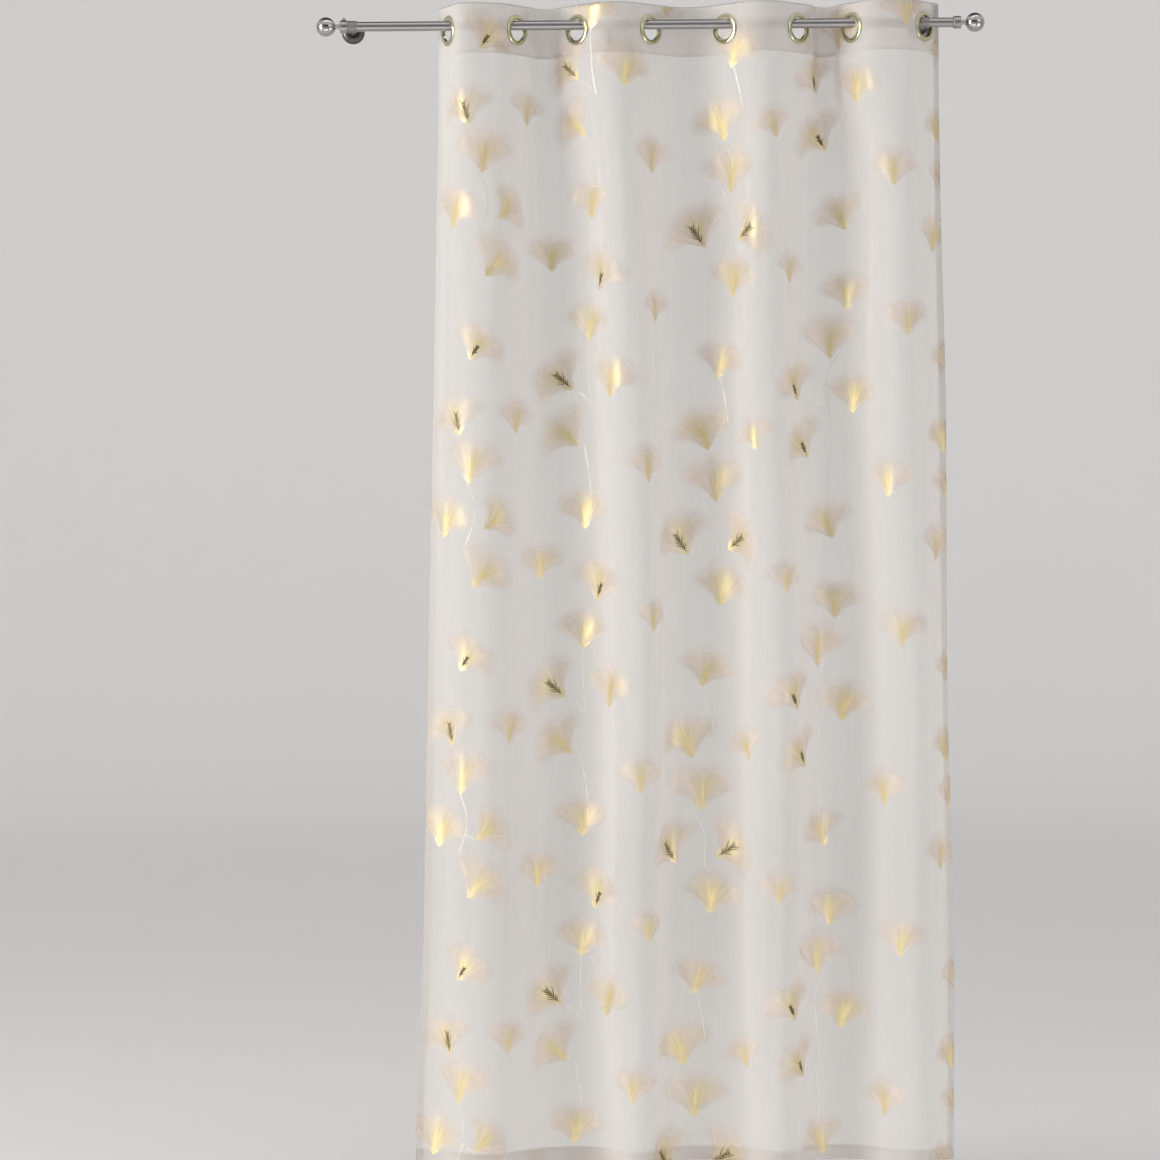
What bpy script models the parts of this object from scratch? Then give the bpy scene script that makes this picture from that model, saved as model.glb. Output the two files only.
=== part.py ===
"""A sheer voile curtain hung by its eyelets on a steel curtain pole with ball finials.

Metres, +Z up. The wall is the plane Y = 0 and the room lies at -Y. The pole runs along X at
Z = 0, and the origin is the middle of the left bracket's face on the wall.
"""

import math

import bmesh
import bpy
import numpy as np

GAP = 0.0003  # left between any two pieces

# Pole, brackets and finials
POLE_RADIUS = 0.010
POLE_PROJECTION = 0.094  # from the wall to the pole's axis
BRACKET_SPACING = 1.184
CUP_RADIUS = 0.0122
CUP_WIDTH = 0.0186
STEM_RADIUS = 0.0095
ROSETTE_RADIUS = 0.024
ROSETTE_DEPTH = 0.012
ROSETTE_RIM = 0.0025
COLLAR_RADIUS = 0.013
COLLAR_LENGTH = 0.016
COLLAR_BEVEL = 0.0008
COLLAR_BORE_DEPTH = 0.0123
LEFT_COLLAR_FROM_BRACKET = 0.0098  # inner face of the left collar, left of the left bracket
RIGHT_COLLAR_FROM_BRACKET = 0.0596  # inner face of the right collar, right of the right bracket
NECK_RADIUS = 0.0053
NECK_LENGTH = 0.009
NECK_FOOT_RADIUS = 0.0062
NECK_FOOT_HEIGHT = 0.0018
STUD_RADIUS = 0.004
BALL_RADIUS = 0.020
SCREW_RADIUS = 0.0044
SCREW_HEIGHT = 0.006

# Curtain, laid flat
CLOTH_WIDTH = 1.400
CLOTH_HEIGHT = 2.400
PANEL_THICKNESS = 0.0012
HEADING_THICKNESS = 0.0016
HEADING_HEIGHT = 0.1035
EYELET_FROM_TOP = 0.052
EYELET_FROM_SIDE = 0.049
EYELET_COUNT = 8
EYELET_SPACING = (CLOTH_WIDTH - 2 * EYELET_FROM_SIDE) / (EYELET_COUNT - 1)

# Eyelets
EYELET_INNER_RADIUS = 0.022
EYELET_OUTER_RADIUS = 0.0315
BARREL_WALL = 0.0012
EYELET_CROWN = 0.0040  # front of the ring above the middle of the cloth
EYELET_EDGE = 0.0022  # height there at which its outer edge starts to curve in
EYELET_LIP = 0.0016  # width of the curve from its crown into the hole
EYELET_BACK = 0.0029  # back of the ring behind the middle of the cloth
EYELET_BEVEL = 0.0012
BARREL_BEVEL = 0.0004
EYELET_DROP = (0.0099, 0.0099, 0.0099, 0.0099, 0.0099, 0.0099, 0.0092, 0.0080)  # below the axis
FLAT_BESIDE_EYELET = 0.0325  # the cloth stays flat this far either side of an eyelet's middle
EYELET_TURN = (-66.3, 48.7, -46.2, 43.7, -44.4, 42.5, -54.0, 48.0)  # degrees in plan from +X

# How the folds hang. Each row is one height, measured down from the eyelets' middles. The cloth
# crosses the pole's plane eight times: cross holds where, side gives the two side edges, and
# side_flat the flat width outside the first and the last crossing. steep turns the fourth
# crossing further, in degrees.
FOLD_ROWS = (
    {
        "below_eyelets": 0.052,
        "cross": (0.1985, 0.3401, 0.4649, 0.6171, 0.7713, 0.9224, 1.0330, 1.1835),
        "side": (0.1780, 1.2176),
        "side_flat": (0.0490, 0.0490),
        "steep": 0,
    },
    {
        "below_eyelets": 0.36,
        "cross": (0.1981, 0.3451, 0.4920, 0.6204, 0.7881, 0.9040, 1.0592, 1.1880),
        "side": (0.1718, 1.2192),
        "side_flat": (0.0460, 0.0450),
        "steep": 0,
    },
    {
        "below_eyelets": 0.77,
        "cross": (0.1898, 0.3409, 0.5065, 0.6266, 0.7901, 0.9060, 1.0613, 1.1897),
        "side": (0.1617, 1.2260),
        "side_flat": (0.0440, 0.0460),
        "steep": 4,
    },
    {
        "below_eyelets": 1.39,
        "cross": (0.1836, 0.3430, 0.5190, 0.6349, 0.7963, 0.9288, 1.0778, 1.2000),
        "side": (0.1449, 1.2260),
        "side_flat": (0.0500, 0.0400),
        "steep": 14,
    },
    {
        "below_eyelets": 1.91,
        "cross": (0.1815, 0.3420, 0.5117, 0.6235, 0.7974, 0.9226, 1.0768, 1.2031),
        "side": (0.1319, 1.2343),
        "side_flat": (0.0600, 0.0420),
        "steep": 15,
    },
    {
        "below_eyelets": 2.36,
        "cross": (0.1774, 0.3409, 0.5272, 0.6162, 0.8129, 0.9164, 1.0758, 1.2021),
        "side": (0.1132, 1.2310),
        "side_flat": (0.0740, 0.0400),
        "steep": 12,
    },
)
# Share of the spare width that each fold takes for its chord, once clear of the heading.
FOLD_FULLNESS = (1.00, 0.97, 1.24, 0.96, 1.16, 1.00, 1.10)
HEADING_HOLD_ENDS = 0.55  # below the eyelets, where they no longer set the folds

# Mesh steps
FINE_STEPS = 60  # along the plan curve of one fold
PANEL_STEP = 6  # fine steps to one panel column
SIDE_STEPS = 18  # fine steps outside the first and the last crossing
PANEL_DEPTHS = (0.105, 0.15, 0.21, 0.29, 0.40, 0.54, 0.72, 0.94, 1.18, 1.44, 1.72, 2.02)
HEADING_FOLD_STEPS = 9
HOLE_SIDES = 24
SOLVER_ROUNDS = 12
MERGE = 0.000005  # points closer than this are one


def remove_objects():
    for old in list(bpy.data.objects):
        bpy.data.objects.remove(old, do_unlink=True)


def make_material(name, colour, roughness, metallic):
    material = bpy.data.materials.new(name)
    material.use_nodes = True
    shader = material.node_tree.nodes["Principled BSDF"]
    shader.inputs["Base Color"].default_value = (*colour, 1.0)
    shader.inputs["Roughness"].default_value = roughness
    shader.inputs["Metallic"].default_value = metallic
    return material


def add_piece(name, mesh, material, location=(0, 0, 0), turn=(0, 0, 0)):
    piece = bpy.data.objects.new(name, mesh)
    if not mesh.materials:
        mesh.materials.append(material)
    piece.location = location
    piece.rotation_euler = turn
    bpy.context.scene.collection.objects.link(piece)
    return piece


def finish_mesh(shape, name, sharp_angle=35):
    """Turns a bmesh into a mesh with outward faces, smooth but for its sharp edges."""
    bmesh.ops.recalc_face_normals(shape, faces=shape.faces)
    mesh = bpy.data.meshes.new(name)
    shape.to_mesh(mesh)
    shape.free()
    mesh.shade_smooth()
    mesh.set_sharp_from_angle(angle=math.radians(sharp_angle))
    return mesh


def turned_mesh(name, profile, sides, closed):
    """Spins a profile of (radius, height) points round Z. A closed profile makes a ring."""
    shape = bmesh.new()
    points = [shape.verts.new((radius, 0, height)) for radius, height in profile]
    pairs = list(zip(points, points[1:]))
    if closed:
        pairs.append((points[-1], points[0]))
    edges = [shape.edges.new(pair) for pair in pairs]
    bmesh.ops.spin(
        shape,
        geom=points + edges,
        cent=(0, 0, 0),
        axis=(0, 0, 1),
        angle=math.tau,
        steps=sides,
        use_merge=True,
    )
    bmesh.ops.remove_doubles(shape, verts=shape.verts, dist=MERGE)
    return finish_mesh(shape, name)


def cylinder_mesh(name, radius, length, sides):
    """A cylinder round Z, standing on its lower end."""
    shape = bmesh.new()
    bmesh.ops.create_cone(
        shape,
        cap_ends=True,
        segments=sides,
        radius1=radius,
        radius2=radius,
        depth=length,
    )
    bmesh.ops.translate(shape, verts=shape.verts, vec=(0, 0, length / 2))
    return finish_mesh(shape, name)


# --- Pole, brackets and finials ---------------------------------------------------------------

TO_ROOM = (math.pi / 2, 0, 0)  # turns local +Z to the room, -Y
TO_RIGHT = (0, math.pi / 2, 0)
TO_LEFT = (0, -math.pi / 2, 0)


def add_pole(material):
    start = -LEFT_COLLAR_FROM_BRACKET - COLLAR_BORE_DEPTH + GAP
    end = BRACKET_SPACING + RIGHT_COLLAR_FROM_BRACKET + COLLAR_BORE_DEPTH - GAP
    mesh = cylinder_mesh("pole", POLE_RADIUS, end - start, sides=40)
    add_piece("pole", mesh, material, (start, -POLE_PROJECTION, 0), TO_RIGHT)


def add_helper(name, mesh, location, turn):
    """A shape that a Boolean joins or cuts and that isn't a piece itself."""
    helper = bpy.data.objects.new(name, mesh)
    helper.location = location
    helper.rotation_euler = turn
    helper.hide_render = True
    helper.display_type = "WIRE"
    bpy.context.scene.collection.objects.link(helper)
    return helper


def add_boolean(piece, helper, operation):
    modifier = piece.modifiers.new(helper.name, "BOOLEAN")
    modifier.operation = operation
    modifier.solver = "EXACT"
    modifier.object = helper


def add_bracket_arm(side, x, material):
    """A stem from the wall to the pole, ending in a ring that the pole runs through."""
    stem = cylinder_mesh("bracket_arm", STEM_RADIUS, POLE_PROJECTION, sides=32)
    arm = add_piece(f"bracket_arm_{side}", stem, material, (x, 0, 0), TO_ROOM)
    cup = cylinder_mesh("cup", CUP_RADIUS, CUP_WIDTH, sides=40)
    cup_start = (x - CUP_WIDTH / 2, -POLE_PROJECTION, 0)
    add_boolean(arm, add_helper(f"cup_{side}", cup, cup_start, TO_RIGHT), "UNION")
    bore = cylinder_mesh("bore", POLE_RADIUS + GAP, 2 * CUP_WIDTH, sides=40)
    bore_start = (x - CUP_WIDTH, -POLE_PROJECTION, 0)
    add_boolean(arm, add_helper(f"bore_{side}", bore, bore_start, TO_RIGHT), "DIFFERENCE")


def rosette_mesh():
    """A domed cover plate with a hole for the stem. Its dome is a quarter of an ellipse."""
    hole = STEM_RADIUS + GAP
    arcs = 6
    dome = []
    for step in range(arcs):
        angle = math.pi / 2 * step / arcs
        radius = hole + (ROSETTE_RADIUS - hole) * math.cos(angle)
        height = ROSETTE_RIM + (ROSETTE_DEPTH - ROSETTE_RIM) * math.sin(angle)
        dome.append((radius, height))
    profile = [(hole, 0), (ROSETTE_RADIUS, 0), *dome, (hole, ROSETTE_DEPTH)]
    return turned_mesh("rosette", profile, sides=36, closed=True)


def collar_mesh():
    """A sleeve over the end of the pole, with a hole for the finial's stud in its end wall."""
    bore = POLE_RADIUS + GAP
    stud_hole = STUD_RADIUS + GAP
    profile = [
        (bore, 0),
        (COLLAR_RADIUS - COLLAR_BEVEL, 0),
        (COLLAR_RADIUS, COLLAR_BEVEL),
        (COLLAR_RADIUS, COLLAR_LENGTH - COLLAR_BEVEL),
        (COLLAR_RADIUS - COLLAR_BEVEL, COLLAR_LENGTH),
        (stud_hole, COLLAR_LENGTH),
        (stud_hole, COLLAR_BORE_DEPTH),
        (bore, COLLAR_BORE_DEPTH),
    ]
    return turned_mesh("collar", profile, sides=28, closed=True)


def finial_mesh():
    """A stud, a neck and a ball, turned in one. Heights start at the collar's outer face."""
    stud_end = COLLAR_BORE_DEPTH - COLLAR_LENGTH + GAP
    centre = NECK_LENGTH + BALL_RADIUS
    neck_angle = math.asin(NECK_RADIUS / BALL_RADIUS)
    profile = [
        (0, stud_end),
        (STUD_RADIUS, stud_end),
        (STUD_RADIUS, GAP),
        (NECK_FOOT_RADIUS, GAP),
        (NECK_RADIUS, NECK_FOOT_HEIGHT),
    ]
    arcs = 11
    for step in range(arcs):
        angle = neck_angle + (math.pi - neck_angle) * step / arcs
        profile.append((BALL_RADIUS * math.sin(angle), centre - BALL_RADIUS * math.cos(angle)))
    profile.append((0, centre + BALL_RADIUS))
    return turned_mesh("finial", profile, sides=24, closed=False)


def screw_mesh():
    """A small pointed thumb screw that stands on the collar."""
    shape = ((0, 0), (0.9, 0), (1.0, 0.2), (0.72, 0.55), (0.3, 0.88), (0, 1.0))
    profile = [(SCREW_RADIUS * radius, SCREW_HEIGHT * height) for radius, height in shape]
    return turned_mesh("thumb_screw", profile, sides=16, closed=False)


def add_pole_end(side, x, turn, collar, finial, steel, polished):
    """The collar and the finial at one end. x is the collar's inner face."""
    outward = -1 if side == "left" else 1
    add_piece(f"collar_{side}", collar, steel, (x, -POLE_PROJECTION, 0), turn)
    outer_face = (x + outward * COLLAR_LENGTH, -POLE_PROJECTION, 0)
    add_piece(f"finial_{side}", finial, polished, outer_face, turn)


def add_hardware(steel, polished):
    add_pole(steel)
    rosette = rosette_mesh()
    for side, x in (("left", 0), ("right", BRACKET_SPACING)):
        add_bracket_arm(side, x, steel)
        add_piece(f"rosette_{side}", rosette, steel, (x, 0, 0), TO_ROOM)
    collar = collar_mesh()
    finial = finial_mesh()
    left = -LEFT_COLLAR_FROM_BRACKET
    right = BRACKET_SPACING + RIGHT_COLLAR_FROM_BRACKET
    add_pole_end("left", left, TO_LEFT, collar, finial, steel, polished)
    add_pole_end("right", right, TO_RIGHT, collar, finial, steel, polished)
    on_collar = (left - COLLAR_LENGTH / 2, -POLE_PROJECTION, COLLAR_RADIUS + GAP)
    add_piece("thumb_screw", screw_mesh(), steel, on_collar)


# --- The cloth's folds in plan ----------------------------------------------------------------


def walk(angles, length):
    """Follows a plan curve of even steps from its tangent angles, and gives its x and y."""
    step = length / (len(angles) - 1)
    middles = (angles[1:] + angles[:-1]) / 2
    x = np.concatenate(([0], np.cumsum(np.cos(middles)) * step))
    y = np.concatenate(([0], np.cumsum(np.sin(middles)) * step))
    return x, y


def fold_curve(length, chord, start, end, flat):
    """The plan curve of one fold, between two crossings of the pole's plane.

    The tangent angle eases from start to end between two flat stretches. A bulge and a lean are
    added to it, and Newton's rule finds the two that end the curve at (chord, 0).
    """
    along = np.linspace(0, 1, FINE_STEPS + 1)
    flat_share = flat / length
    between = np.clip((along - flat_share) / (1 - 2 * flat_share), 0, 1)
    ease = 0.5 + 0.5 * np.cos(np.pi * between)
    shapes = (np.sin(2 * np.pi * between), np.sin(np.pi * between) ** 2)
    angles = start * ease + end * (1 - ease)
    for _ in range(SOLVER_ROUNDS):
        x, y = walk(angles, length)
        miss = np.array((chord - x[-1], -y[-1]))
        slopes = np.array(
            [
                [-np.mean(np.sin(angles) * shape) * length for shape in shapes],
                [np.mean(np.cos(angles) * shape) * length for shape in shapes],
            ]
        )
        bulge, lean = np.linalg.solve(slopes, miss)
        angles = angles + bulge * shapes[0] + lean * shapes[1]
    return walk(angles, length)


def side_curve(length, chord, turn, flat):
    """The plan curve outside the first or the last crossing, followed out from the crossing."""
    along = np.linspace(0, 1, SIDE_STEPS + 1)
    ease = np.clip((along - flat / length) / (1 - flat / length), 0, 1)
    end = turn
    for _ in range(SOLVER_ROUNDS):
        angles = turn + (end - turn) * ease
        x, y = walk(angles, length)
        slope = -np.mean(np.sin(angles) * ease) * length
        end += np.clip((chord - x[-1]) / slope, -0.2, 0.2)
    return walk(turn + (end - turn) * ease, length)


def smooth_between(depth, depths, values):
    """A cubic curve through the rows' values, level at the heading and at the bottom hem."""
    values = np.asarray(values, dtype=float)
    slopes = np.zeros_like(values)
    rises = (values[2:] - values[:-2]).T / (depths[2:] - depths[:-2])
    slopes[1:-1] = rises.T
    row = int(np.clip(np.searchsorted(depths, depth) - 1, 0, len(depths) - 2))
    span = depths[row + 1] - depths[row]
    t = (depth - depths[row]) / span
    return (
        (1 + 2 * t) * (1 - t) ** 2 * values[row]
        + t * (1 - t) ** 2 * span * slopes[row]
        + t * t * (3 - 2 * t) * values[row + 1]
        + t * t * (t - 1) * span * slopes[row + 1]
    )


def fold_row(depth):
    """The fold sizes at one depth below the eyelets, and how far those still set them."""
    depths = np.array([row["below_eyelets"] for row in FOLD_ROWS])
    depth = np.clip(depth, depths[0], depths[-1])
    sizes = {}
    for column in ("cross", "side", "side_flat", "steep"):
        sizes[column] = smooth_between(depth, depths, [row[column] for row in FOLD_ROWS])
    reach = np.clip((depth - depths[0]) / (HEADING_HOLD_ENDS - depths[0]), 0, 1)
    sizes["hold"] = 0.5 + 0.5 * math.cos(math.pi * reach)
    return sizes


def plan_line(depth):
    """The cloth's plan curve at one depth: flat width, x and y along it, left to right.

    The flat width always adds up to the cut width, so that no thread is stretched.
    """
    sizes = fold_row(depth)
    hold = sizes["hold"]
    cross = sizes["cross"]
    chords = np.diff(cross)
    shares = chords * np.array(FOLD_FULLNESS)
    free = shares / shares.sum() * (CLOTH_WIDTH - sizes["side_flat"].sum())
    lengths = hold * EYELET_SPACING + (1 - hold) * free
    lengths *= (CLOTH_WIDTH - sizes["side_flat"].sum()) / lengths.sum()
    waves = np.sqrt(8 * (1 - np.sqrt(chords / lengths)))
    turns = np.concatenate((waves[:1], (waves[1:] + waves[:-1]) / 2, waves[-1:]))
    turns[3] += math.radians(sizes["steep"])
    turns *= np.where(np.arange(EYELET_COUNT) % 2 == 0, -1, 1)
    turns = hold * np.radians(EYELET_TURN) + (1 - hold) * turns
    flat = hold * FLAT_BESIDE_EYELET

    left_chord = cross[0] - sizes["side"][0]
    left_x, left_y = side_curve(sizes["side_flat"][0], left_chord, turns[0], flat)
    xs = [(cross[0] - left_x)[::-1]]
    ys = [-left_y[::-1]]
    ss = [np.linspace(0, sizes["side_flat"][0], SIDE_STEPS + 1)]
    for index, (length, chord) in enumerate(zip(lengths, chords)):
        x, y = fold_curve(length, chord, turns[index], turns[index + 1], flat)
        xs.append(cross[index] + x[1:])
        ys.append(y[1:])
        ss.append(ss[-1][-1] + np.linspace(0, length, FINE_STEPS + 1)[1:])
    right_chord = sizes["side"][1] - cross[-1]
    right_x, right_y = side_curve(sizes["side_flat"][1], right_chord, turns[-1], flat)
    xs.append(cross[-1] + right_x[1:])
    ys.append(right_y[1:])
    ss.append(ss[-1][-1] + np.linspace(0, sizes["side_flat"][1], SIDE_STEPS + 1)[1:])
    return np.concatenate(ss), np.concatenate(xs), np.concatenate(ys) - POLE_PROJECTION


# --- Panel, heading and eyelets ---------------------------------------------------------------


def eyelet_places():
    """Each eyelet's place across the flat cloth."""
    return EYELET_FROM_SIDE + EYELET_SPACING * np.arange(EYELET_COUNT)


def hang(width_places):
    """How far the eyelets' level lies below the pole's axis, across the flat cloth."""
    return np.interp(width_places, eyelet_places(), EYELET_DROP)


def thicken(piece, thickness):
    modifier = piece.modifiers.new("thickness", "SOLIDIFY")
    modifier.thickness = thickness
    modifier.offset = 0
    modifier.use_even_offset = True


def add_panel(material):
    """The voile below the heading, hems included: one row of points for each depth."""
    seam = HEADING_HEIGHT - EYELET_FROM_TOP + GAP
    hem = CLOTH_HEIGHT - EYELET_FROM_TOP
    rows = []
    for depth in (seam, *PANEL_DEPTHS, hem):
        flat, x, y = plan_line(depth)
        columns = np.arange(0, len(x), PANEL_STEP)
        rows.append([(x[i], y[i], -depth - hang(flat[i])) for i in columns])
    shape = bmesh.new()
    grid = [[shape.verts.new(point) for point in row] for row in rows]
    for upper, lower in zip(grid, grid[1:]):
        for i in range(len(upper) - 1):
            shape.faces.new((upper[i], lower[i], lower[i + 1], upper[i + 1]))
    mesh = bpy.data.meshes.new("curtain_panel")
    shape.to_mesh(mesh)
    shape.free()
    mesh.shade_smooth()
    thicken(add_piece("curtain_panel", mesh, material), PANEL_THICKNESS)


def heading_half(shape, place, inner, outer, top, seam):
    """One half of the flat cloth round an eyelet's hole, from its middle line out to outer."""
    side = 1 if outer > inner else -1
    hole = EYELET_INNER_RADIUS + BARREL_WALL + GAP
    corners = [place(inner, seam), place(outer, seam), place(outer, top), place(inner, top)]
    arc = []
    for step in range(HOLE_SIDES // 2 + 1):
        angle = math.pi / 2 - math.pi * step / (HOLE_SIDES // 2)
        arc.append(place(inner + side * hole * math.cos(angle), hole * math.sin(angle)))
    outline = corners + arc
    if side < 0:
        outline.reverse()
    shape.faces.new([shape.verts.new(point) for point in outline])


def add_heading(material):
    """The doubled top band. It is flat round each eyelet's hole and folds in between."""
    top = EYELET_FROM_TOP
    seam = EYELET_FROM_TOP - HEADING_HEIGHT
    flat, x, y = plan_line(0)

    def place(across, height):
        """A point of the band: across the flat cloth, and height above the eyelets."""
        return (
            np.interp(across, flat, x),
            np.interp(across, flat, y),
            height - hang(across),
        )

    shape = bmesh.new()
    edges = [0]
    for middle in eyelet_places():
        edges += [middle - FLAT_BESIDE_EYELET, middle + FLAT_BESIDE_EYELET]
        for side in (-1, 1):
            outer = middle + side * FLAT_BESIDE_EYELET
            heading_half(shape, place, middle, outer, top, seam)
    edges.append(CLOTH_WIDTH)
    for start, end in zip(edges[::2], edges[1::2]):
        columns = np.linspace(start, end, HEADING_FOLD_STEPS + 1)
        for a, b in zip(columns, columns[1:]):
            corners = (place(a, seam), place(b, seam), place(b, top), place(a, top))
            shape.faces.new([shape.verts.new(point) for point in corners])
    bmesh.ops.remove_doubles(shape, verts=shape.verts, dist=MERGE)
    mesh = bpy.data.meshes.new("heading_band")
    shape.to_mesh(mesh)
    shape.free()
    thicken(add_piece("heading_band", mesh, material), HEADING_THICKNESS)


def eyelet_front_mesh():
    """The crowned front ring and the barrel that passes through the cloth, in one profile."""
    inner = EYELET_INNER_RADIUS
    outer = EYELET_OUTER_RADIUS
    barrel = inner + BARREL_WALL
    on_cloth = HEADING_THICKNESS / 2 + GAP
    middle = (inner + outer) / 2
    barrel_end = EYELET_LIP / 8 - EYELET_BACK
    profile = [
        (outer, on_cloth),
        (outer - BARREL_BEVEL, EYELET_EDGE),
        (outer - EYELET_EDGE, EYELET_CROWN - BARREL_BEVEL),
        (middle, EYELET_CROWN),
        (inner + EYELET_LIP, EYELET_CROWN - EYELET_LIP / 2),
        (inner, EYELET_CROWN - 1.25 * EYELET_LIP),
        (inner, barrel_end + BARREL_BEVEL),
        (barrel, barrel_end),
        (barrel, on_cloth),
    ]
    return turned_mesh("eyelet_front", profile, HOLE_SIDES, closed=True)


def eyelet_back_mesh():
    """The flat ring that snaps on the barrel behind the cloth."""
    inner = EYELET_INNER_RADIUS + BARREL_WALL + GAP
    outer = EYELET_OUTER_RADIUS
    on_cloth = -HEADING_THICKNESS / 2 - GAP
    profile = [
        (inner, on_cloth),
        (inner, -EYELET_BACK),
        (outer - EYELET_BEVEL, -EYELET_BACK),
        (outer, EYELET_BEVEL - EYELET_BACK),
        (outer, on_cloth),
    ]
    return turned_mesh("eyelet_back", profile, HOLE_SIDES, closed=True)


def add_eyelets(material):
    flat, x, y = plan_line(0)
    meshes = {"front": eyelet_front_mesh(), "back": eyelet_back_mesh()}
    for index, across in enumerate(eyelet_places()):
        centre = (
            np.interp(across, flat, x),
            np.interp(across, flat, y),
            -EYELET_DROP[index],
        )
        turn = (math.pi / 2, 0, math.radians(EYELET_TURN[index]))
        for half, mesh in meshes.items():
            add_piece(f"eyelet_{half}_{index + 1}", mesh, material, centre, turn)


def build():
    remove_objects()
    steel = make_material("satin_steel", (0.52, 0.52, 0.53), 0.30, 1.0)
    polished = make_material("polished_steel", (0.62, 0.62, 0.63), 0.10, 1.0)
    gold = make_material("pale_gold", (0.78, 0.74, 0.52), 0.22, 1.0)
    voile = make_material("voile", (0.86, 0.84, 0.82), 0.85, 0.0)
    add_hardware(steel, polished)
    add_panel(voile)
    add_heading(voile)
    add_eyelets(gold)


build()
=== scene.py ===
"""A sheer voile curtain with a gold leaf print, hung by its eyelets on a steel curtain pole.

Metres, +Z up. The wall is the plane Y = 0 and the room lies at -Y. The pole runs along X at Z = 0.
"""

import math

import bmesh
import bpy
import numpy as np
from mathutils import Matrix, Vector


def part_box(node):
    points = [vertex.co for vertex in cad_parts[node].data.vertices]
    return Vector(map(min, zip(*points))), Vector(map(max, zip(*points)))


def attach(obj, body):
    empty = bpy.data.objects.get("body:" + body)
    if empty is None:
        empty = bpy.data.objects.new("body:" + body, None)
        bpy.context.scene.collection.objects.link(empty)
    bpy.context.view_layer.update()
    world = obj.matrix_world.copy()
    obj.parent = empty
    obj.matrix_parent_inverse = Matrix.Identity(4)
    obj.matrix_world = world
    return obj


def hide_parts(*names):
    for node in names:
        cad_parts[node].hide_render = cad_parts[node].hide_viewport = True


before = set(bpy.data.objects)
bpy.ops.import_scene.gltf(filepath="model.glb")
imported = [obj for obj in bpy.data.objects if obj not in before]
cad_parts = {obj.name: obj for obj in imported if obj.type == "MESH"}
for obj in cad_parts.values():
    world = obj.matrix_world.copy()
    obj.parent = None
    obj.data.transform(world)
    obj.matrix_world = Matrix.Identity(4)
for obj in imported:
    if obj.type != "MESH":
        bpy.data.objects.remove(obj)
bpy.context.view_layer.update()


# --- Studio -----------------------------------------------------------------------------------
# A round pale sweep on which the floor curves up into the walls, a tall softbox at the left, and
# weaker ones in front, low down, at the right and above. The camera stands level, 8 m away.

PHOTO_SIDE = 1160  # pixels
PIXEL_SIZE = 0.00207  # in the pole's plane
CAMERA_DISTANCE = 8.0
CAMERA_PLACE = (0.1608, -8.094, -1.105)
CAMERA_ROLL = -0.42  # degrees
AXIS_PIXEL = (434, 560)  # where the camera's axis meets the picture
SENSOR_WIDTH = 36  # millimetres
FLOOR_HEIGHT = -2.42
FLOOR_RADIUS = 10.5
SWEEP_RADIUS = 17.0
SWEEP_HEIGHT = 10.0
SWEEP_MIDDLE = (0.62, -0.08)
CEILING_BACK = (0, 0.5, 0.866)  # 60 degrees up, behind the curtain
CARD_PLACE = -12.5
CARD_SIDES = (-9.0, 10.0)
CARD_HEIGHTS = (-2.3, 5.5)
# Each softbox: its name, place, the point it looks at, its width and height, watts and colour.
SOFTBOXES = (
    ("window_light", (-6.8, -3.3, 0.0), (0.7, -0.1, -1.1), (2.8, 4.2), 425, "#FFFEFB"),
    ("front_light", (4.6, -4.2, 1.2), (0.9, -0.1, -1.4), (3.5, 2.0), 24, "#FFFFFF"),
    ("low_light", (0.2, -2.6, -2.2), (0.6, -0.1, -2.1), (2.6, 0.3), 10, "#FFFEFC"),
    ("side_light", (3.4, -1.9, -1.8), (1.0, -0.1, -2.0), (1.0, 1.4), 20, "#FFFFFF"),
    ("top_light", (0.8, -0.9, 2.6), (0.6, -0.1, -0.5), (4.0, 1.0), 12, "#FFFFFF"),
)


def linear(code, alpha=1.0):
    """An sRGB hex value as linear red, green, blue and alpha."""
    parts = [int(code[i : i + 2], 16) / 255 for i in (1, 3, 5)]
    bent = [c / 12.92 if c <= 0.04045 else ((c + 0.055) / 1.055) ** 2.4 for c in parts]
    return (*bent, alpha)


def add_node(tree, kind, inputs=None, **settings):
    """Adds a shader node of a kind. inputs gives its sockets, named or numbered, what they take.

    That is a value, a hex colour, the output it links to, or a node, for that node's first output.
    """
    node = tree.nodes.new("ShaderNode" + kind)
    for setting, value in settings.items():
        setattr(node, setting, value)
    for socket, value in (inputs or {}).items():
        if isinstance(value, bpy.types.Node):
            value = value.outputs[0]
        if isinstance(value, bpy.types.NodeSocket):
            tree.links.new(value, node.inputs[socket])
        else:
            node.inputs[socket].default_value = linear(value) if isinstance(value, str) else value
    return node


def new_material(name):
    """An empty material and its node tree."""
    material = bpy.data.materials.new(name)
    material.use_nodes = True
    material.node_tree.nodes.clear()
    return material, material.node_tree


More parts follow.
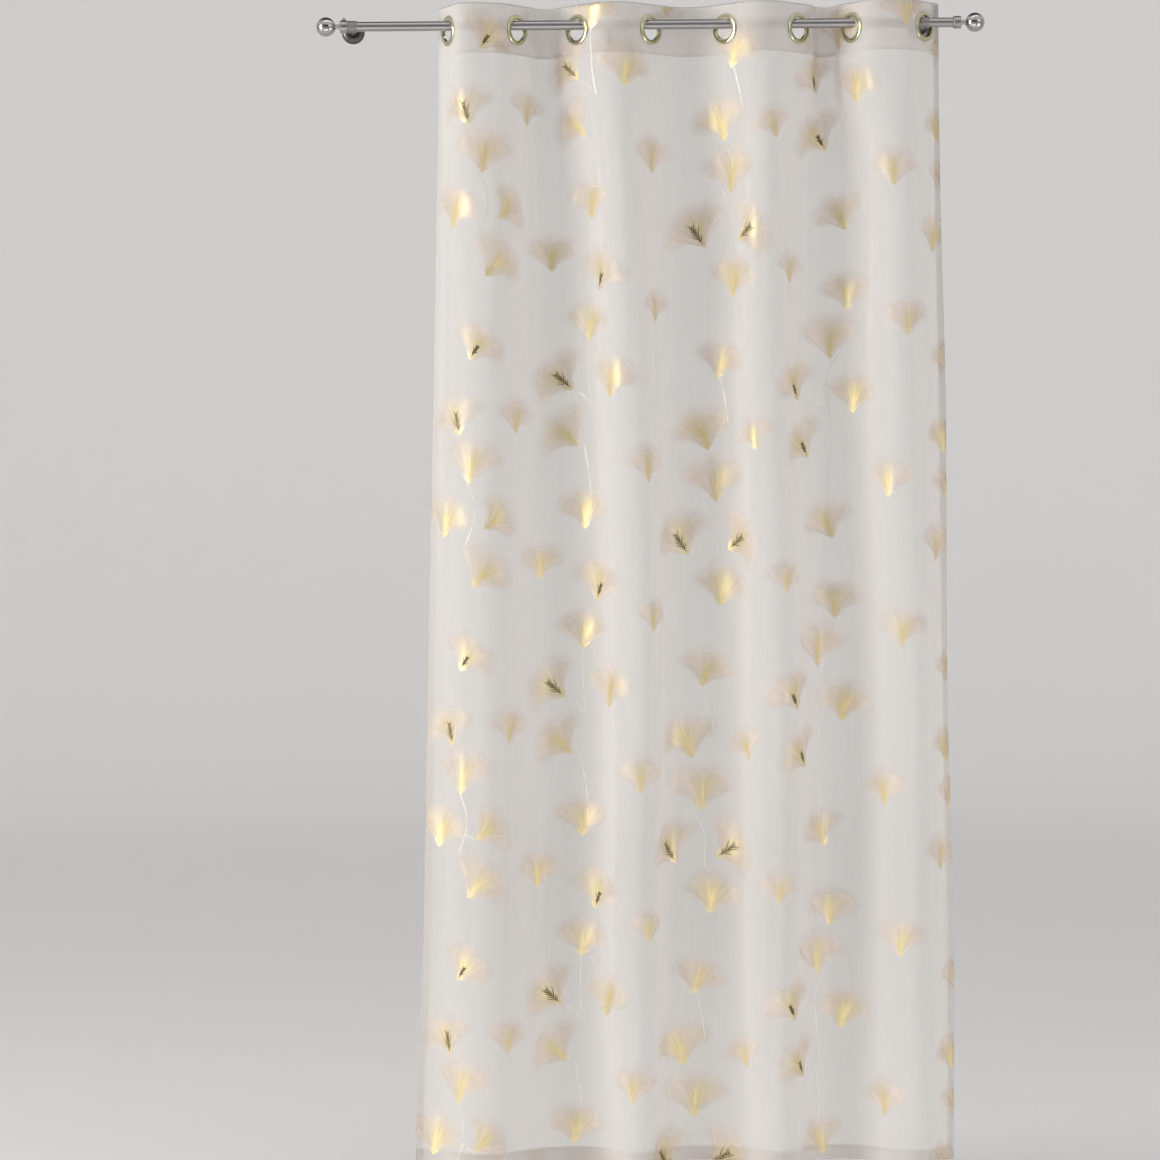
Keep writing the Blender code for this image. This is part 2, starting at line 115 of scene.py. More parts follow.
def add_surface(name, material, grids, wrap=False, uvs=None):
    """Makes one mesh of grids of points, each of the shape (rows, columns, 3).

    Each face joins neighbours in a row and a column, and looks along column step x row step.
    wrap joins the last column to the first. uvs gives each grid its places, (rows, columns, 2).
    """
    faces = []
    count = 0
    for points in grids:
        index = count + np.arange(points[..., 0].size).reshape(points.shape[:2])
        here = index if wrap else index[:, :-1]
        beside = np.roll(index, -1, axis=1) if wrap else index[:, 1:]
        corners = (here[:-1], beside[:-1], beside[1:], here[1:])
        faces.append(np.stack(corners, axis=-1).reshape(-1, 4))
        count += index.size
    faces = np.concatenate(faces)
    mesh = bpy.data.meshes.new(name)
    mesh.from_pydata(np.concatenate([points.reshape(-1, 3) for points in grids]), [], faces)
    if uvs is not None:
        layer = mesh.uv_layers.new(name="flat")
        flat = np.concatenate([places.reshape(-1, 2) for places in uvs]).astype(np.float32)
        layer.data.foreach_set("uv", flat[faces].ravel())
    mesh.materials.append(material)
    mesh.shade_smooth()
    piece = bpy.data.objects.new(name, mesh)
    bpy.context.scene.collection.objects.link(piece)
    return piece


def join_seams(piece, distance=1e-7):
    """Joins the points that lie on one another, where grids meet and where a circle closes."""
    shape = bmesh.new()
    shape.from_mesh(piece.data)
    bmesh.ops.remove_doubles(shape, verts=shape.verts, dist=distance)
    shape.to_mesh(piece.data)
    shape.free()


def turned(name, material, profile, start, axis, sides=96, sharp=40):
    """Turns a profile of (height, radius) points round an axis through start.

    Each point becomes a circle of its radius, at its height along the axis.
    """
    profile = np.vstack(profile)
    axis = Vector(axis).normalized()
    side = axis.orthogonal().normalized()
    other = axis.cross(side)
    angles = np.linspace(0, math.tau, sides, endpoint=False)
    ring = np.outer(np.cos(angles), side) + np.outer(np.sin(angles), other)
    heights = profile[:, None, :1] * np.array(axis)
    points = np.array(start) + heights + profile[:, None, 1:] * ring
    piece = add_surface(name, material, [points], wrap=True)
    join_seams(piece)
    piece.data.set_sharp_from_angle(angle=math.radians(sharp))
    return piece


def matt_paint(name, code):
    """A plain matt paint, for what stands round the curtain."""
    material, tree = new_material(name)
    paint = add_node(tree, "BsdfPrincipled", {"Base Color": code, "Roughness": 0.9})
    add_node(tree, "OutputMaterial", {"Surface": paint})
    return material


lens = bpy.data.cameras.new("camera")
lens.sensor_width = SENSOR_WIDTH
lens.lens = SENSOR_WIDTH * CAMERA_DISTANCE / (PIXEL_SIZE * PHOTO_SIDE)
lens.shift_x = (PHOTO_SIDE / 2 - AXIS_PIXEL[0]) / PHOTO_SIDE
lens.shift_y = (AXIS_PIXEL[1] - PHOTO_SIDE / 2) / PHOTO_SIDE
lens.clip_end = 100
camera = bpy.data.objects.new("camera", lens)
level = Matrix.Rotation(math.radians(90), 4, "X")
roll = Matrix.Rotation(math.radians(CAMERA_ROLL), 4, "Z")
camera.matrix_world = Matrix.Translation(CAMERA_PLACE) @ level @ roll
bpy.context.scene.collection.objects.link(camera)
bpy.context.scene.camera = camera

for name, place, aim, size, power, code in SOFTBOXES:
    lamp = bpy.data.lights.new(name, "AREA")
    lamp.shape = "RECTANGLE"
    lamp.size, lamp.size_y = size
    lamp.energy = power
    lamp.color = linear(code)[:3]
    softbox = bpy.data.objects.new(name, lamp)
    softbox.location = place
    softbox.rotation_euler = (Vector(aim) - Vector(place)).to_track_quat("-Z", "Y").to_euler()
    bpy.context.scene.collection.objects.link(softbox)

# The room is pale but for the back of its ceiling, which darkens the upper edge of the metal.
world = bpy.data.worlds.new("pale_room")
world.use_nodes = True
tree = world.node_tree
tree.nodes.clear()
sky_place = add_node(tree, "TexCoord").outputs["Generated"]
to_back = add_node(tree, "VectorMath", {0: sky_place, 1: CEILING_BACK}, operation="DOT_PRODUCT")
ceiling = add_node(tree, "ValToRGB", {"Fac": to_back.outputs["Value"]})
stops = ceiling.color_ramp.elements
stops[0].position, stops[0].color = 0.70, linear("#E3E2E1")
stops[1].position, stops[1].color = 0.92, linear("#565656")
sky = add_node(tree, "Background", {"Color": ceiling, "Strength": 0.97})
add_node(tree, "OutputWorld", {"Surface": sky})
bpy.context.scene.world = world
bpy.context.scene.view_settings.view_transform = "Standard"
bpy.context.scene.cycles.transparent_max_bounces = 48  # many sheer layers lie one behind another

bend = np.radians(np.linspace(0, 90, 33))
wall_radius = FLOOR_RADIUS + (SWEEP_RADIUS - FLOOR_RADIUS) * np.sin(bend)
wall_curve = np.stack((SWEEP_HEIGHT * (1 - np.cos(bend)), wall_radius), axis=-1)
pale_paint = matt_paint("matt_pale_paint", "#F2F1F1")
sweep_start = (*SWEEP_MIDDLE, FLOOR_HEIGHT)
sweep = turned("sweep", pale_paint, [[(0, 0)], wall_curve], sweep_start, (0, 0, 1), sides=128)

# A grey card behind the camera shows only in the metal, as the dark line along its middle.
card_points = np.array([[(x, CARD_PLACE, z) for x in CARD_SIDES] for z in CARD_HEIGHTS])
card = add_surface("grey_card", matt_paint("matt_grey_card", "#8A8A8A"), [card_points])
for ray in ("camera", "diffuse", "transmission", "shadow"):
    setattr(card, f"visible_{ray}", False)


# --- Curtain pole -----------------------------------------------------------------------------
# A 20 mm steel tube, polished along its length and lacquered to a satin finish. It runs through
# both brackets and all eight eyelets.

POLE_CHAMFER = 0.0004
POLE_WALL = 0.0007
BRUSH_LENGTH = 1 / 12
BRUSH_PITCH = 0.0006  # finer lines than this don't show, so they are drawn this coarse
DULL_PATCH = 1 / 30

# The fine lines spread each reflection into soft bands that run along the pole.
satin_steel, tree = new_material("satin_brushed_steel")
place = add_node(tree, "TexCoord").outputs["Object"]
brush_scale = (1 / BRUSH_LENGTH, 1 / BRUSH_PITCH, 1 / BRUSH_PITCH)
along_pole = add_node(tree, "Mapping", {"Vector": place, "Scale": brush_scale})
brushing = add_node(tree, "TexNoise", {"Vector": along_pole, "Scale": 1.0, "Detail": 3.0})
dulling = add_node(tree, "TexNoise", {"Vector": place, "Scale": 1 / DULL_PATCH, "Detail": 2.0})
tone = add_node(tree, "MixRGB", {"Fac": brushing, "Color1": "#9E9B9C", "Color2": "#B4B1B2"})
gloss = add_node(tree, "MapRange", {"Value": dulling, "To Min": 0.28, "To Max": 0.34})
bump = add_node(tree, "Bump", {"Height": brushing, "Strength": 0.08, "Distance": 0.0002})
metal = add_node(
    tree,
    "BsdfPrincipled",
    {"Base Color": tone, "Metallic": 1.0, "Roughness": gloss, "Normal": bump},
)
add_node(tree, "OutputMaterial", {"Surface": metal})

pole_low, pole_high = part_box("pole")
pole_radius = (pole_high.z - pole_low.z) / 2
pole_y = (pole_low.y + pole_high.y) / 2
pole_length = pole_high.x - pole_low.x
pole_profile = [
    (0, pole_radius - POLE_WALL),
    (0, pole_radius - POLE_CHAMFER),
    (POLE_CHAMFER, pole_radius),
    (pole_length - POLE_CHAMFER, pole_radius),
    (pole_length, pole_radius - POLE_CHAMFER),
    (pole_length, pole_radius - POLE_WALL),
    (0, pole_radius - POLE_WALL),
]
pole = turned("curtain_pole", satin_steel, [pole_profile], (pole_low.x, pole_y, 0), (1, 0, 0))
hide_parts("pole")
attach(pole, "root")


# --- Wall brackets ----------------------------------------------------------------------------
# Each bracket is cast in zinc and plated with nickel: a satin stem, and a short matt ring
# that holds the pole. A domed rosette, plated as the stem, slides over it and hides its screw.
# The stem and the rosette are given a darker plate colour than the ring: painted shade, for
# where they lie under the pole, close to the wall.

RING_WIDTH = 0.0186
RING_BORE = 0.0002  # wider than the pole
RING_EDGE = 0.0016
STEM_SINKS = 0.0006  # into the ring
STEM_FILLET = 0.0018
FILLET_FROM = 0.94  # of the way from the wall to the ring
ROSETTE_BORE = 0.0003  # wider than the stem
ROSETTE_LIP = 0.0012
ROSETTE_EDGE = 0.0004
ROSETTE_BEVEL = 0.0006  # round the hole
CAST_GRAIN = 0.0025


def arc(centre, radius, start, end, steps):
    """Points of an arc as (height, radius). Its angles, in degrees, start from the axis.

    An oval has a pair of radii: half its height and half its width.
    """
    angles = np.radians(np.linspace(start, end, steps + 1))
    circle = np.stack((np.cos(angles), np.sin(angles)), axis=-1)
    return np.array(centre) + np.multiply(radius, circle)


def worn_metal(name, grain, tones, gloss):
    """A metal whose tone and roughness both vary with one noise of grains of that size."""
    material, tree = new_material(name)
    place = add_node(tree, "TexCoord").outputs["Object"]
    grains = add_node(tree, "TexNoise", {"Vector": place, "Scale": 1 / grain, "Detail": 3.0})
    tone = add_node(tree, "MixRGB", {"Fac": grains, "Color1": tones[0], "Color2": tones[1]})
    rough = add_node(tree, "MapRange", {"Value": grains, "To Min": gloss[0], "To Max": gloss[1]})
    metal = add_node(
        tree, "BsdfPrincipled", {"Base Color": tone, "Metallic": 1.0, "Roughness": rough}
    )
    add_node(tree, "OutputMaterial", {"Surface": metal})
    return material


# The satin plate reflects the room in soft shapes, and its darker colour is painted shade.
# The matt plate blurs the room to one grey.
shaded_nickel = worn_metal(
    "nickel_on_cast_zinc_painted_shade", CAST_GRAIN, ("#565454", "#686665"), (0.28, 0.38)
)
matt_nickel = worn_metal(
    "matt_nickel_on_cast_zinc", CAST_GRAIN, ("#8A8787", "#9C9998"), (0.50, 0.60)
)

for side in ("left", "right"):
    arm_low, arm_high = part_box(f"bracket_arm_{side}")
    stem_x = (arm_low.x + arm_high.x) / 2
    stem_radius = (arm_high.x - arm_low.x) / 2
    ring_radius = arm_high.z
    bore = pole_radius + RING_BORE
    ring_profile = [
        [(0, bore)],
        arc((RING_EDGE, ring_radius - RING_EDGE), RING_EDGE, 180, 90, 8),
        arc((RING_WIDTH - RING_EDGE, ring_radius - RING_EDGE), RING_EDGE, 90, 0, 8),
        [(RING_WIDTH, bore), (0, bore)],
    ]
    ring_start = (stem_x - RING_WIDTH / 2, pole_y, 0)
    ring = turned(f"bracket_ring_{side}", matt_nickel, ring_profile, ring_start, (1, 0, 0))

    # The stem's outline is a circle at the wall. At the ring each point runs on to the ring's
    # curved back, where a small fillet widens it.
    turn = np.linspace(0, math.tau, 96, endpoint=False)
    reach = np.concatenate((np.linspace(0, 0.9, 10), np.linspace(0.92, 1, 9)))
    widening = np.clip((reach - FILLET_FROM) / (1 - FILLET_FROM), 0, 1) ** 2
    swell = 1 + STEM_FILLET / stem_radius * widening
    stem_height = stem_radius * np.outer(swell, np.sin(turn))
    stem_side = stem_radius * np.outer(swell, np.cos(turn))
    ring_back = np.sqrt(np.maximum(ring_radius**2 - stem_height[-1] ** 2, 0))
    stem_depth = reach[:, None] * (pole_y + ring_back - STEM_SINKS)[None]
    stem_points = np.stack((stem_x + stem_side, stem_depth, stem_height), axis=-1)
    stem = add_surface(f"bracket_stem_{side}", shaded_nickel, [stem_points], wrap=True)
    foot_profile = [[(0, 0), (0, stem_radius)]]
    foot = turned(
        f"bracket_foot_{side}", shaded_nickel, foot_profile, (stem_x, 0, 0), (0, 1, 0)
    )
    for piece in (stem, ring, foot):
        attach(piece, "root")
    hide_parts(f"bracket_arm_{side}")

    rose_low, rose_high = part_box(f"rosette_{side}")
    rose_radius = rose_high.z
    rose_depth = rose_high.y - rose_low.y
    hole = stem_radius + ROSETTE_BORE
    dome_angle = np.radians(np.linspace(0, 84, 20))
    dome_height = ROSETTE_LIP + (rose_depth - ROSETTE_LIP) * np.sin(dome_angle)
    dome_radius = hole + (rose_radius - hole) * np.cos(dome_angle)
    rose_profile = [
        [(0, hole), (0, rose_radius - ROSETTE_EDGE), (ROSETTE_EDGE, rose_radius)],
        np.stack((dome_height, dome_radius), axis=-1),
        [(rose_depth - 0.0002, hole + ROSETTE_BEVEL), (rose_depth - ROSETTE_BEVEL, hole)],
        [(0, hole)],
    ]
    rosette = turned(
        f"wall_rosette_{side}", shaded_nickel, rose_profile, (stem_x, 0, 0), (0, -1, 0)
    )
    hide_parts(f"rosette_{side}")
    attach(rosette, "root")


# --- Collars and ball finials -----------------------------------------------------------------
# A turned steel collar caps each end of the pole. A hollow steel ball on a thin neck screws into
# it and is polished like a mirror. A small thumb screw locks the left collar.

COLLAR_BORE = 0.0003  # wider than the pole
COLLAR_EDGE = 0.0012
COLLAR_END = 0.0037  # thickness of its closed end
STUD_HOLE = 0.0043
GROOVE_PLACE = 0.0032
GROOVE_DEPTH = 0.0004  # and half its width
NECK_RADIUS = 0.0050
NECK_FILLET = 0.0012
FLANGE_RADIUS = 0.0058  # to the middle of its rounded edge
STUD_RADIUS = 0.0040
STUD_LENGTH = 0.0034
SMEAR_WIDTH = 0.016

# The polish gives clear dark and bright reflections, a little dulled where hands smeared it.
polished_steel = worn_metal(
    "mirror_polished_steel", SMEAR_WIDTH, ("#ACAAAB", "#BEBCBD"), (0.06, 0.13)
)

for side, outward in (("left", -1), ("right", 1)):
    low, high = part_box(f"collar_{side}")
    length = high.x - low.x
    radius = (high.z - low.z) / 2
    inner_face = high.x if side == "left" else low.x
    bore = pole_radius + COLLAR_BORE
    collar_profile = [
        [(0, bore)],
        arc((COLLAR_EDGE, radius - COLLAR_EDGE), COLLAR_EDGE, 180, 90, 8),
        [(GROOVE_PLACE - GROOVE_DEPTH, radius), (GROOVE_PLACE, radius - GROOVE_DEPTH)],
        [(GROOVE_PLACE + GROOVE_DEPTH, radius)],
        arc((length - COLLAR_EDGE, radius - COLLAR_EDGE), COLLAR_EDGE, 90, 0, 8),
        [(length, STUD_HOLE), (length - COLLAR_END, STUD_HOLE)],
        [(length - COLLAR_END, bore), (0, bore)],
    ]
    axis = (outward, 0, 0)
    collar_start = (inner_face, pole_y, 0)
    collar = turned(f"end_collar_{side}", satin_steel, collar_profile, collar_start, axis)
    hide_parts(f"collar_{side}")

    # A stud, a flange that rests on the collar, and a neck with a small fillet at the ball.
    low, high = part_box(f"finial_{side}")
    ball_radius = (high.z - low.z) / 2
    collar_face = inner_face + outward * length
    tip = abs((low.x if side == "left" else high.x) - collar_face)
    ball_middle = tip - ball_radius
    meet_radius = NECK_RADIUS + NECK_FILLET
    neck_meets = ball_middle - math.sqrt(ball_radius**2 - meet_radius**2)
    start_angle = 180 - math.degrees(math.asin(meet_radius / ball_radius))
    finial_profile = [
        [(-STUD_LENGTH, 0), (-STUD_LENGTH, STUD_RADIUS), (0.0003, STUD_RADIUS)],
        arc((0.0010, FLANGE_RADIUS), 0.0007, 180, 60, 6),
        [(0.0022, 0.0052), (0.0030, NECK_RADIUS)],
        [(neck_meets - 0.0014, NECK_RADIUS), (neck_meets - 0.0005, NECK_RADIUS + 0.0003)],
        arc((ball_middle, 0), ball_radius, start_angle, 0, 64),
    ]
    finial_start = (collar_face, pole_y, 0)
    finial = turned(
        f"ball_finial_{side}", polished_steel, finial_profile, finial_start, axis, sides=128
    )
    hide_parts(f"finial_{side}")
    for piece in (collar, finial):
        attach(piece, "root")

screw_low, screw_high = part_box("thumb_screw")
screw_size = (screw_high.z - screw_low.z, (screw_high.x - screw_low.x) / 2)
screw_height, screw_radius = screw_size
screw_tip = np.array([(0.52, 0.86), (0.70, 0.74), (0.86, 0.54), (0.96, 0.28), (1, 0)])
screw_profile = [
    [(0, 0), (0, 0.8 * screw_radius)],
    arc((0.24 * screw_height, 0.72 * screw_radius), 0.28 * screw_radius, 140, 60, 10),
    screw_tip * screw_size,
]
screw_start = ((screw_low.x + screw_high.x) / 2, pole_y, screw_low.z)
screw = turned(
    "thumb_screw_turned", satin_steel, screw_profile, screw_start, (0, 0, 1), sides=48, sharp=60
)
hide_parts("thumb_screw")
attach(screw, "root")


# --- Voile panel ------------------------------------------------------------------------------
# One cut of sheer polyester voile, 1.40 m by 2.40 m when hemmed. It hangs from eight eyelets in
# uneven folds. Its side and bottom hems are turned twice, so that three layers lie there.

CLOTH_WIDTH = 1.400
CLOTH_HEIGHT = 2.400
HEADING_HEIGHT = 0.1035
EYELET_FROM_TOP = 0.052
EYELET_FROM_SIDE = 0.049
EYELET_COUNT = 8
EYELET_SPACING = (CLOTH_WIDTH - 2 * EYELET_FROM_SIDE) / (EYELET_COUNT - 1)
EYELET_DROP = (0.0099, 0.0099, 0.0099, 0.0099, 0.0099, 0.0099, 0.0092, 0.0080)  # below the axis
EYELET_TURN = (-66.3, 48.7, -46.2, 43.7, -44.4, 42.5, -54.0, 48.0)  # degrees in plan from +X
FLAT_BESIDE_EYELET = 0.0325  # the cloth stays flat this far either side of an eyelet's middle
SIDE_HEM = 0.016
BOTTOM_HEM = 0.030
HEM_LINE = CLOTH_HEIGHT - EYELET_FROM_TOP  # below the eyelets' middles
SEAM_LINE = HEADING_HEIGHT - EYELET_FROM_TOP
LAYER = 0.0002  # between two layers of cloth that lie together
TURN = 0.0006  # from a folded edge to the nearest points either side of it

# How the folds hang, at six heights from the heading's seam down to the hem. Each height has its
# depth below the eyelets' middles, and the places where the cloth crosses the pole's plane.
FOLD_CROSSINGS = (
    (0.052, (0.1985, 0.3401, 0.4649, 0.6171, 0.7713, 0.9224, 1.0330, 1.1835)),
    (0.36, (0.1981, 0.3451, 0.4920, 0.6204, 0.7881, 0.9040, 1.0592, 1.1880)),
    (0.77, (0.1898, 0.3409, 0.5065, 0.6266, 0.7901, 0.9060, 1.0613, 1.1897)),
    (1.39, (0.1836, 0.3430, 0.5190, 0.6349, 0.7963, 0.9288, 1.0778, 1.2000)),
    (1.91, (0.1815, 0.3420, 0.5117, 0.6235, 0.7974, 0.9226, 1.0768, 1.2031)),
    (2.36, (0.1774, 0.3409, 0.5272, 0.6162, 0.8129, 0.9164, 1.0758, 1.2021)),
)
# At the same heights: the places of the two side edges, the flat width outside the first and the
# last crossing, and how much further the fourth crossing turns, in degrees.
FOLD_SIDES = (
    ((0.1780, 1.2176), (0.0490, 0.0490), 0),
    ((0.1718, 1.2192), (0.0460, 0.0450), 0),
    ((0.1617, 1.2260), (0.0440, 0.0460), 4),
    ((0.1449, 1.2260), (0.0500, 0.0400), 14),
    ((0.1319, 1.2343), (0.0600, 0.0420), 15),
    ((0.1132, 1.2310), (0.0740, 0.0400), 12),
)
FOLD_FULLNESS = (1.00, 0.97, 1.24, 0.96, 1.16, 1.00, 1.10)  # each fold's share of spare width
HEADING_HOLD_ENDS = 0.55  # below the eyelets, where they no longer set the folds
FINE_STEPS = 240  # along the plan curve of one fold
SOLVER_ROUNDS = 12

fold_depths, fold_cross = (np.array(column) for column in zip(*FOLD_CROSSINGS))
fold_columns = (fold_cross, *(np.array(column, dtype=float) for column in zip(*FOLD_SIDES)))


def walk(angles, length):
    """Follows a plan curve of even steps from its tangent angles, and gives its x and y."""
    step = length / (len(angles) - 1)
    middles = (angles[1:] + angles[:-1]) / 2
    x = np.concatenate(([0], np.cumsum(np.cos(middles)) * step))
    y = np.concatenate(([0], np.cumsum(np.sin(middles)) * step))
    return x, y


def fold_curve(length, chord, start, end, flat):
    """The plan curve of one fold, between two crossings of the pole's plane.

    The tangent angle eases from start to end between two flat stretches. A bulge and a lean are
    added to it, and Newton's rule finds the two that end the curve at (chord, 0).
    """
    along = np.linspace(0, 1, FINE_STEPS + 1)
    flat_share = flat / length
    between = np.clip((along - flat_share) / (1 - 2 * flat_share), 0, 1)
    ease = 0.5 + 0.5 * np.cos(np.pi * between)
    shapes = (np.sin(2 * np.pi * between), np.sin(np.pi * between) ** 2)
    angles = start * ease + end * (1 - ease)
    for _ in range(SOLVER_ROUNDS):
        x, y = walk(angles, length)
        miss = np.array((chord - x[-1], -y[-1]))
        x_slopes = [-np.mean(np.sin(angles) * shape) * length for shape in shapes]
        y_slopes = [np.mean(np.cos(angles) * shape) * length for shape in shapes]
        bulge, lean = np.linalg.solve(np.array([x_slopes, y_slopes]), miss)
        angles = angles + bulge * shapes[0] + lean * shapes[1]
    return walk(angles, length)


def side_curve(length, chord, turn, flat):
    """The plan curve outside the first or the last crossing, followed out from the crossing.

    It turns evenly after a flat stretch, by as much as ends it a chord away.
    """
    along = np.linspace(0, 1, FINE_STEPS // 3 + 1)
    ease = np.clip((along - flat / length) / (1 - flat / length), 0, 1)
    end = turn
    for _ in range(SOLVER_ROUNDS):
        angles = turn + (end - turn) * ease
        x, y = walk(angles, length)
        slope = -np.mean(np.sin(angles) * ease) * length
        end += np.clip((chord - x[-1]) / slope, -0.2, 0.2)
    return walk(turn + (end - turn) * ease, length)


def cubic(t, span, values, slopes, at):
    """A cubic curve with the given slopes, at a share t of the span from values[at] to the next."""
    return (
        (1 + 2 * t) * (1 - t) ** 2 * values[at]
        + t * (1 - t) ** 2 * span * slopes[at]
        + t * t * (3 - 2 * t) * values[at + 1]
        + t * t * (t - 1) * span * slopes[at + 1]
    )


def smooth_between(depth, values):
    """A cubic curve through the values at the fold depths, level at the first and the last."""
    slopes = np.zeros_like(values)
    slopes[1:-1] = ((values[2:] - values[:-2]).T / (fold_depths[2:] - fold_depths[:-2])).T
    row = int(np.clip(np.searchsorted(fold_depths, depth) - 1, 0, len(fold_depths) - 2))
    span = fold_depths[row + 1] - fold_depths[row]
    return cubic((depth - fold_depths[row]) / span, span, values, slopes, row)


def plan_line(depth):
    """The cloth's plan curve at one depth: flat width, x and y along it, left to right.

    The flat width always adds up to the cut width, so that no thread is stretched.
    """
    depth = np.clip(depth, fold_depths[0], fold_depths[-1])
    cross, side, side_flat, steep = (smooth_between(depth, column) for column in fold_columns)
    reach = np.clip((depth - fold_depths[0]) / (HEADING_HOLD_ENDS - fold_depths[0]), 0, 1)
    hold = 0.5 + 0.5 * math.cos(math.pi * reach)
    chords = np.diff(cross)
    shares = chords * np.array(FOLD_FULLNESS)
    free = shares / shares.sum() * (CLOTH_WIDTH - side_flat.sum())
    lengths = hold * EYELET_SPACING + (1 - hold) * free
    lengths *= (CLOTH_WIDTH - side_flat.sum()) / lengths.sum()
    waves = np.sqrt(8 * (1 - np.sqrt(chords / lengths)))
    turns = np.concatenate((waves[:1], (waves[1:] + waves[:-1]) / 2, waves[-1:]))
    turns[3] += math.radians(steep)
    turns *= np.where(np.arange(EYELET_COUNT) % 2 == 0, -1, 1)
    turns = hold * np.radians(EYELET_TURN) + (1 - hold) * turns
    flat = hold * FLAT_BESIDE_EYELET

    left_x, left_y = side_curve(side_flat[0], cross[0] - side[0], turns[0], flat)
    xs = [(cross[0] - left_x)[::-1]]
    ys = [-left_y[::-1]]
    ss = [np.linspace(0, side_flat[0], len(left_x))]
    for index, (length, chord) in enumerate(zip(lengths, chords)):
        x, y = fold_curve(length, chord, turns[index], turns[index + 1], flat)
        xs.append(cross[index] + x[1:])
        ys.append(y[1:])
        ss.append(ss[-1][-1] + np.linspace(0, length, FINE_STEPS + 1)[1:])
    right_x, right_y = side_curve(side_flat[1], side[1] - cross[-1], turns[-1], flat)
    xs.append(cross[-1] + right_x[1:])
    ys.append(right_y[1:])
    ss.append(ss[-1][-1] + np.linspace(0, side_flat[1], len(right_x))[1:])
    return np.concatenate(ss), np.concatenate(xs), np.concatenate(ys) + pole_y


# The folds as a table: a row for every 10 mm down, a column for every millimetre across.
DOWN_STEP, ACROSS_STEP = 0.010, 0.001
table_down = np.arange(fold_depths[0], fold_depths[-1] + DOWN_STEP, DOWN_STEP)
table_across = np.arange(0, CLOTH_WIDTH + ACROSS_STEP / 2, ACROSS_STEP)
table_lines = [plan_line(depth) for depth in table_down]
fold_x = np.array([np.interp(table_across, flat, x) for flat, x, y in table_lines])
fold_y = np.array([np.interp(table_across, flat, y) for flat, x, y in table_lines])
eyelet_across = EYELET_FROM_SIDE + EYELET_SPACING * np.arange(EYELET_COUNT)

# Soft creases that the cloth kept or that its weight draws: ridges towards the room, or troughs
# where the rise is negative. Each has its place across from the left edge, its top and bottom
# below the eyelets' middles, how far it slants to the right on its way down, its width and rise.
CREASE_WANDER = 0.004
CREASES = (
    (0.150, 0.10, 0.75, 0.010, 0.016, 0.0024),
    (0.205, 0.06, 0.62, -0.02, 0.012, -0.0022),
    (0.030, 0.25, 1.30, 0.012, 0.014, 0.0030),
    (0.110, 0.90, 2.10, 0.020, 0.018, -0.0030),
    (0.185, 1.10, 2.34, 0.018, 0.014, 0.0026),
    (0.285, 0.08, 0.95, 0.014, 0.015, -0.0028),
    (0.345, 0.55, 1.70, -0.01, 0.013, 0.0024),
    (0.300, 1.30, 2.34, 0.022, 0.016, -0.0026),
    (0.455, 0.06, 0.80, -0.01, 0.013, 0.0026),
    (0.520, 0.10, 0.90, 0.016, 0.014, -0.0024),
    (0.480, 0.95, 2.20, 0.014, 0.017, 0.0032),
    (0.590, 0.70, 1.95, -0.02, 0.014, -0.0030),
    (0.650, 0.08, 0.70, 0.012, 0.013, 0.0024),
    (0.705, 0.60, 1.60, 0.010, 0.015, -0.0028),
    (0.690, 1.40, 2.34, -0.01, 0.014, 0.0026),
    (0.830, 0.06, 0.66, 0.014, 0.012, -0.0024),
    (0.870, 0.40, 1.50, -0.01, 0.016, 0.0030),
    (0.900, 1.20, 2.34, 0.012, 0.015, -0.0026),
    (1.010, 0.08, 0.90, 0.016, 0.013, 0.0026),
    (1.075, 0.50, 1.60, -0.01, 0.015, -0.0030),
    (1.040, 1.50, 2.34, 0.014, 0.015, 0.0028),
    (1.190, 0.06, 0.74, -0.01, 0.014, -0.0026),
    (1.245, 0.30, 1.25, 0.010, 0.018, 0.0034),
    (1.300, 0.12, 1.00, 0.012, 0.014, -0.0028),
    (1.265, 1.10, 2.34, -0.02, 0.019, -0.0032),
    (1.345, 0.70, 2.20, 0.010, 0.013, 0.0026),
)


def crease_rise(across, down):
    """How far the creases lift the cloth towards the room.

    Each crease is a bell across its width, and a half sine along its length.
    """
    total = np.zeros(np.broadcast(across, down).shape)
    for place, top, bottom, drift, width, rise in CREASES:
        along = np.clip((down - top) / (bottom - top), 0, 1)
        middle = place + drift * along + CREASE_WANDER * np.sin(5 * along)
        total += rise * np.exp(-(((across - middle) / width) ** 2)) * np.sin(np.pi * along)
    return total


def on_folds(across, down):
    """The point of the hung cloth at a flat place, between the nearest four of the fold table."""
    row = np.clip((down - table_down[0]) / DOWN_STEP, 0, len(table_down) - 1.001)
    column = np.clip(across / ACROSS_STEP, 0, len(table_across) - 1.001)
    i, j = row.astype(int), column.astype(int)
    u, v = row - i, column - j
    point = []
    for table in (fold_x, fold_y):
        upper = table[i, j] * (1 - v) + table[i, j + 1] * v
        lower = table[i + 1, j] * (1 - v) + table[i + 1, j + 1] * v
        point.append(upper * (1 - u) + lower * u)
    height = -down - np.interp(across, eyelet_across, EYELET_DROP)
    return np.stack((*point, height), axis=-1)


def unit(vectors):
    """Each vector divided by its length."""
    return vectors / np.linalg.norm(vectors, axis=-1, keepdims=True)


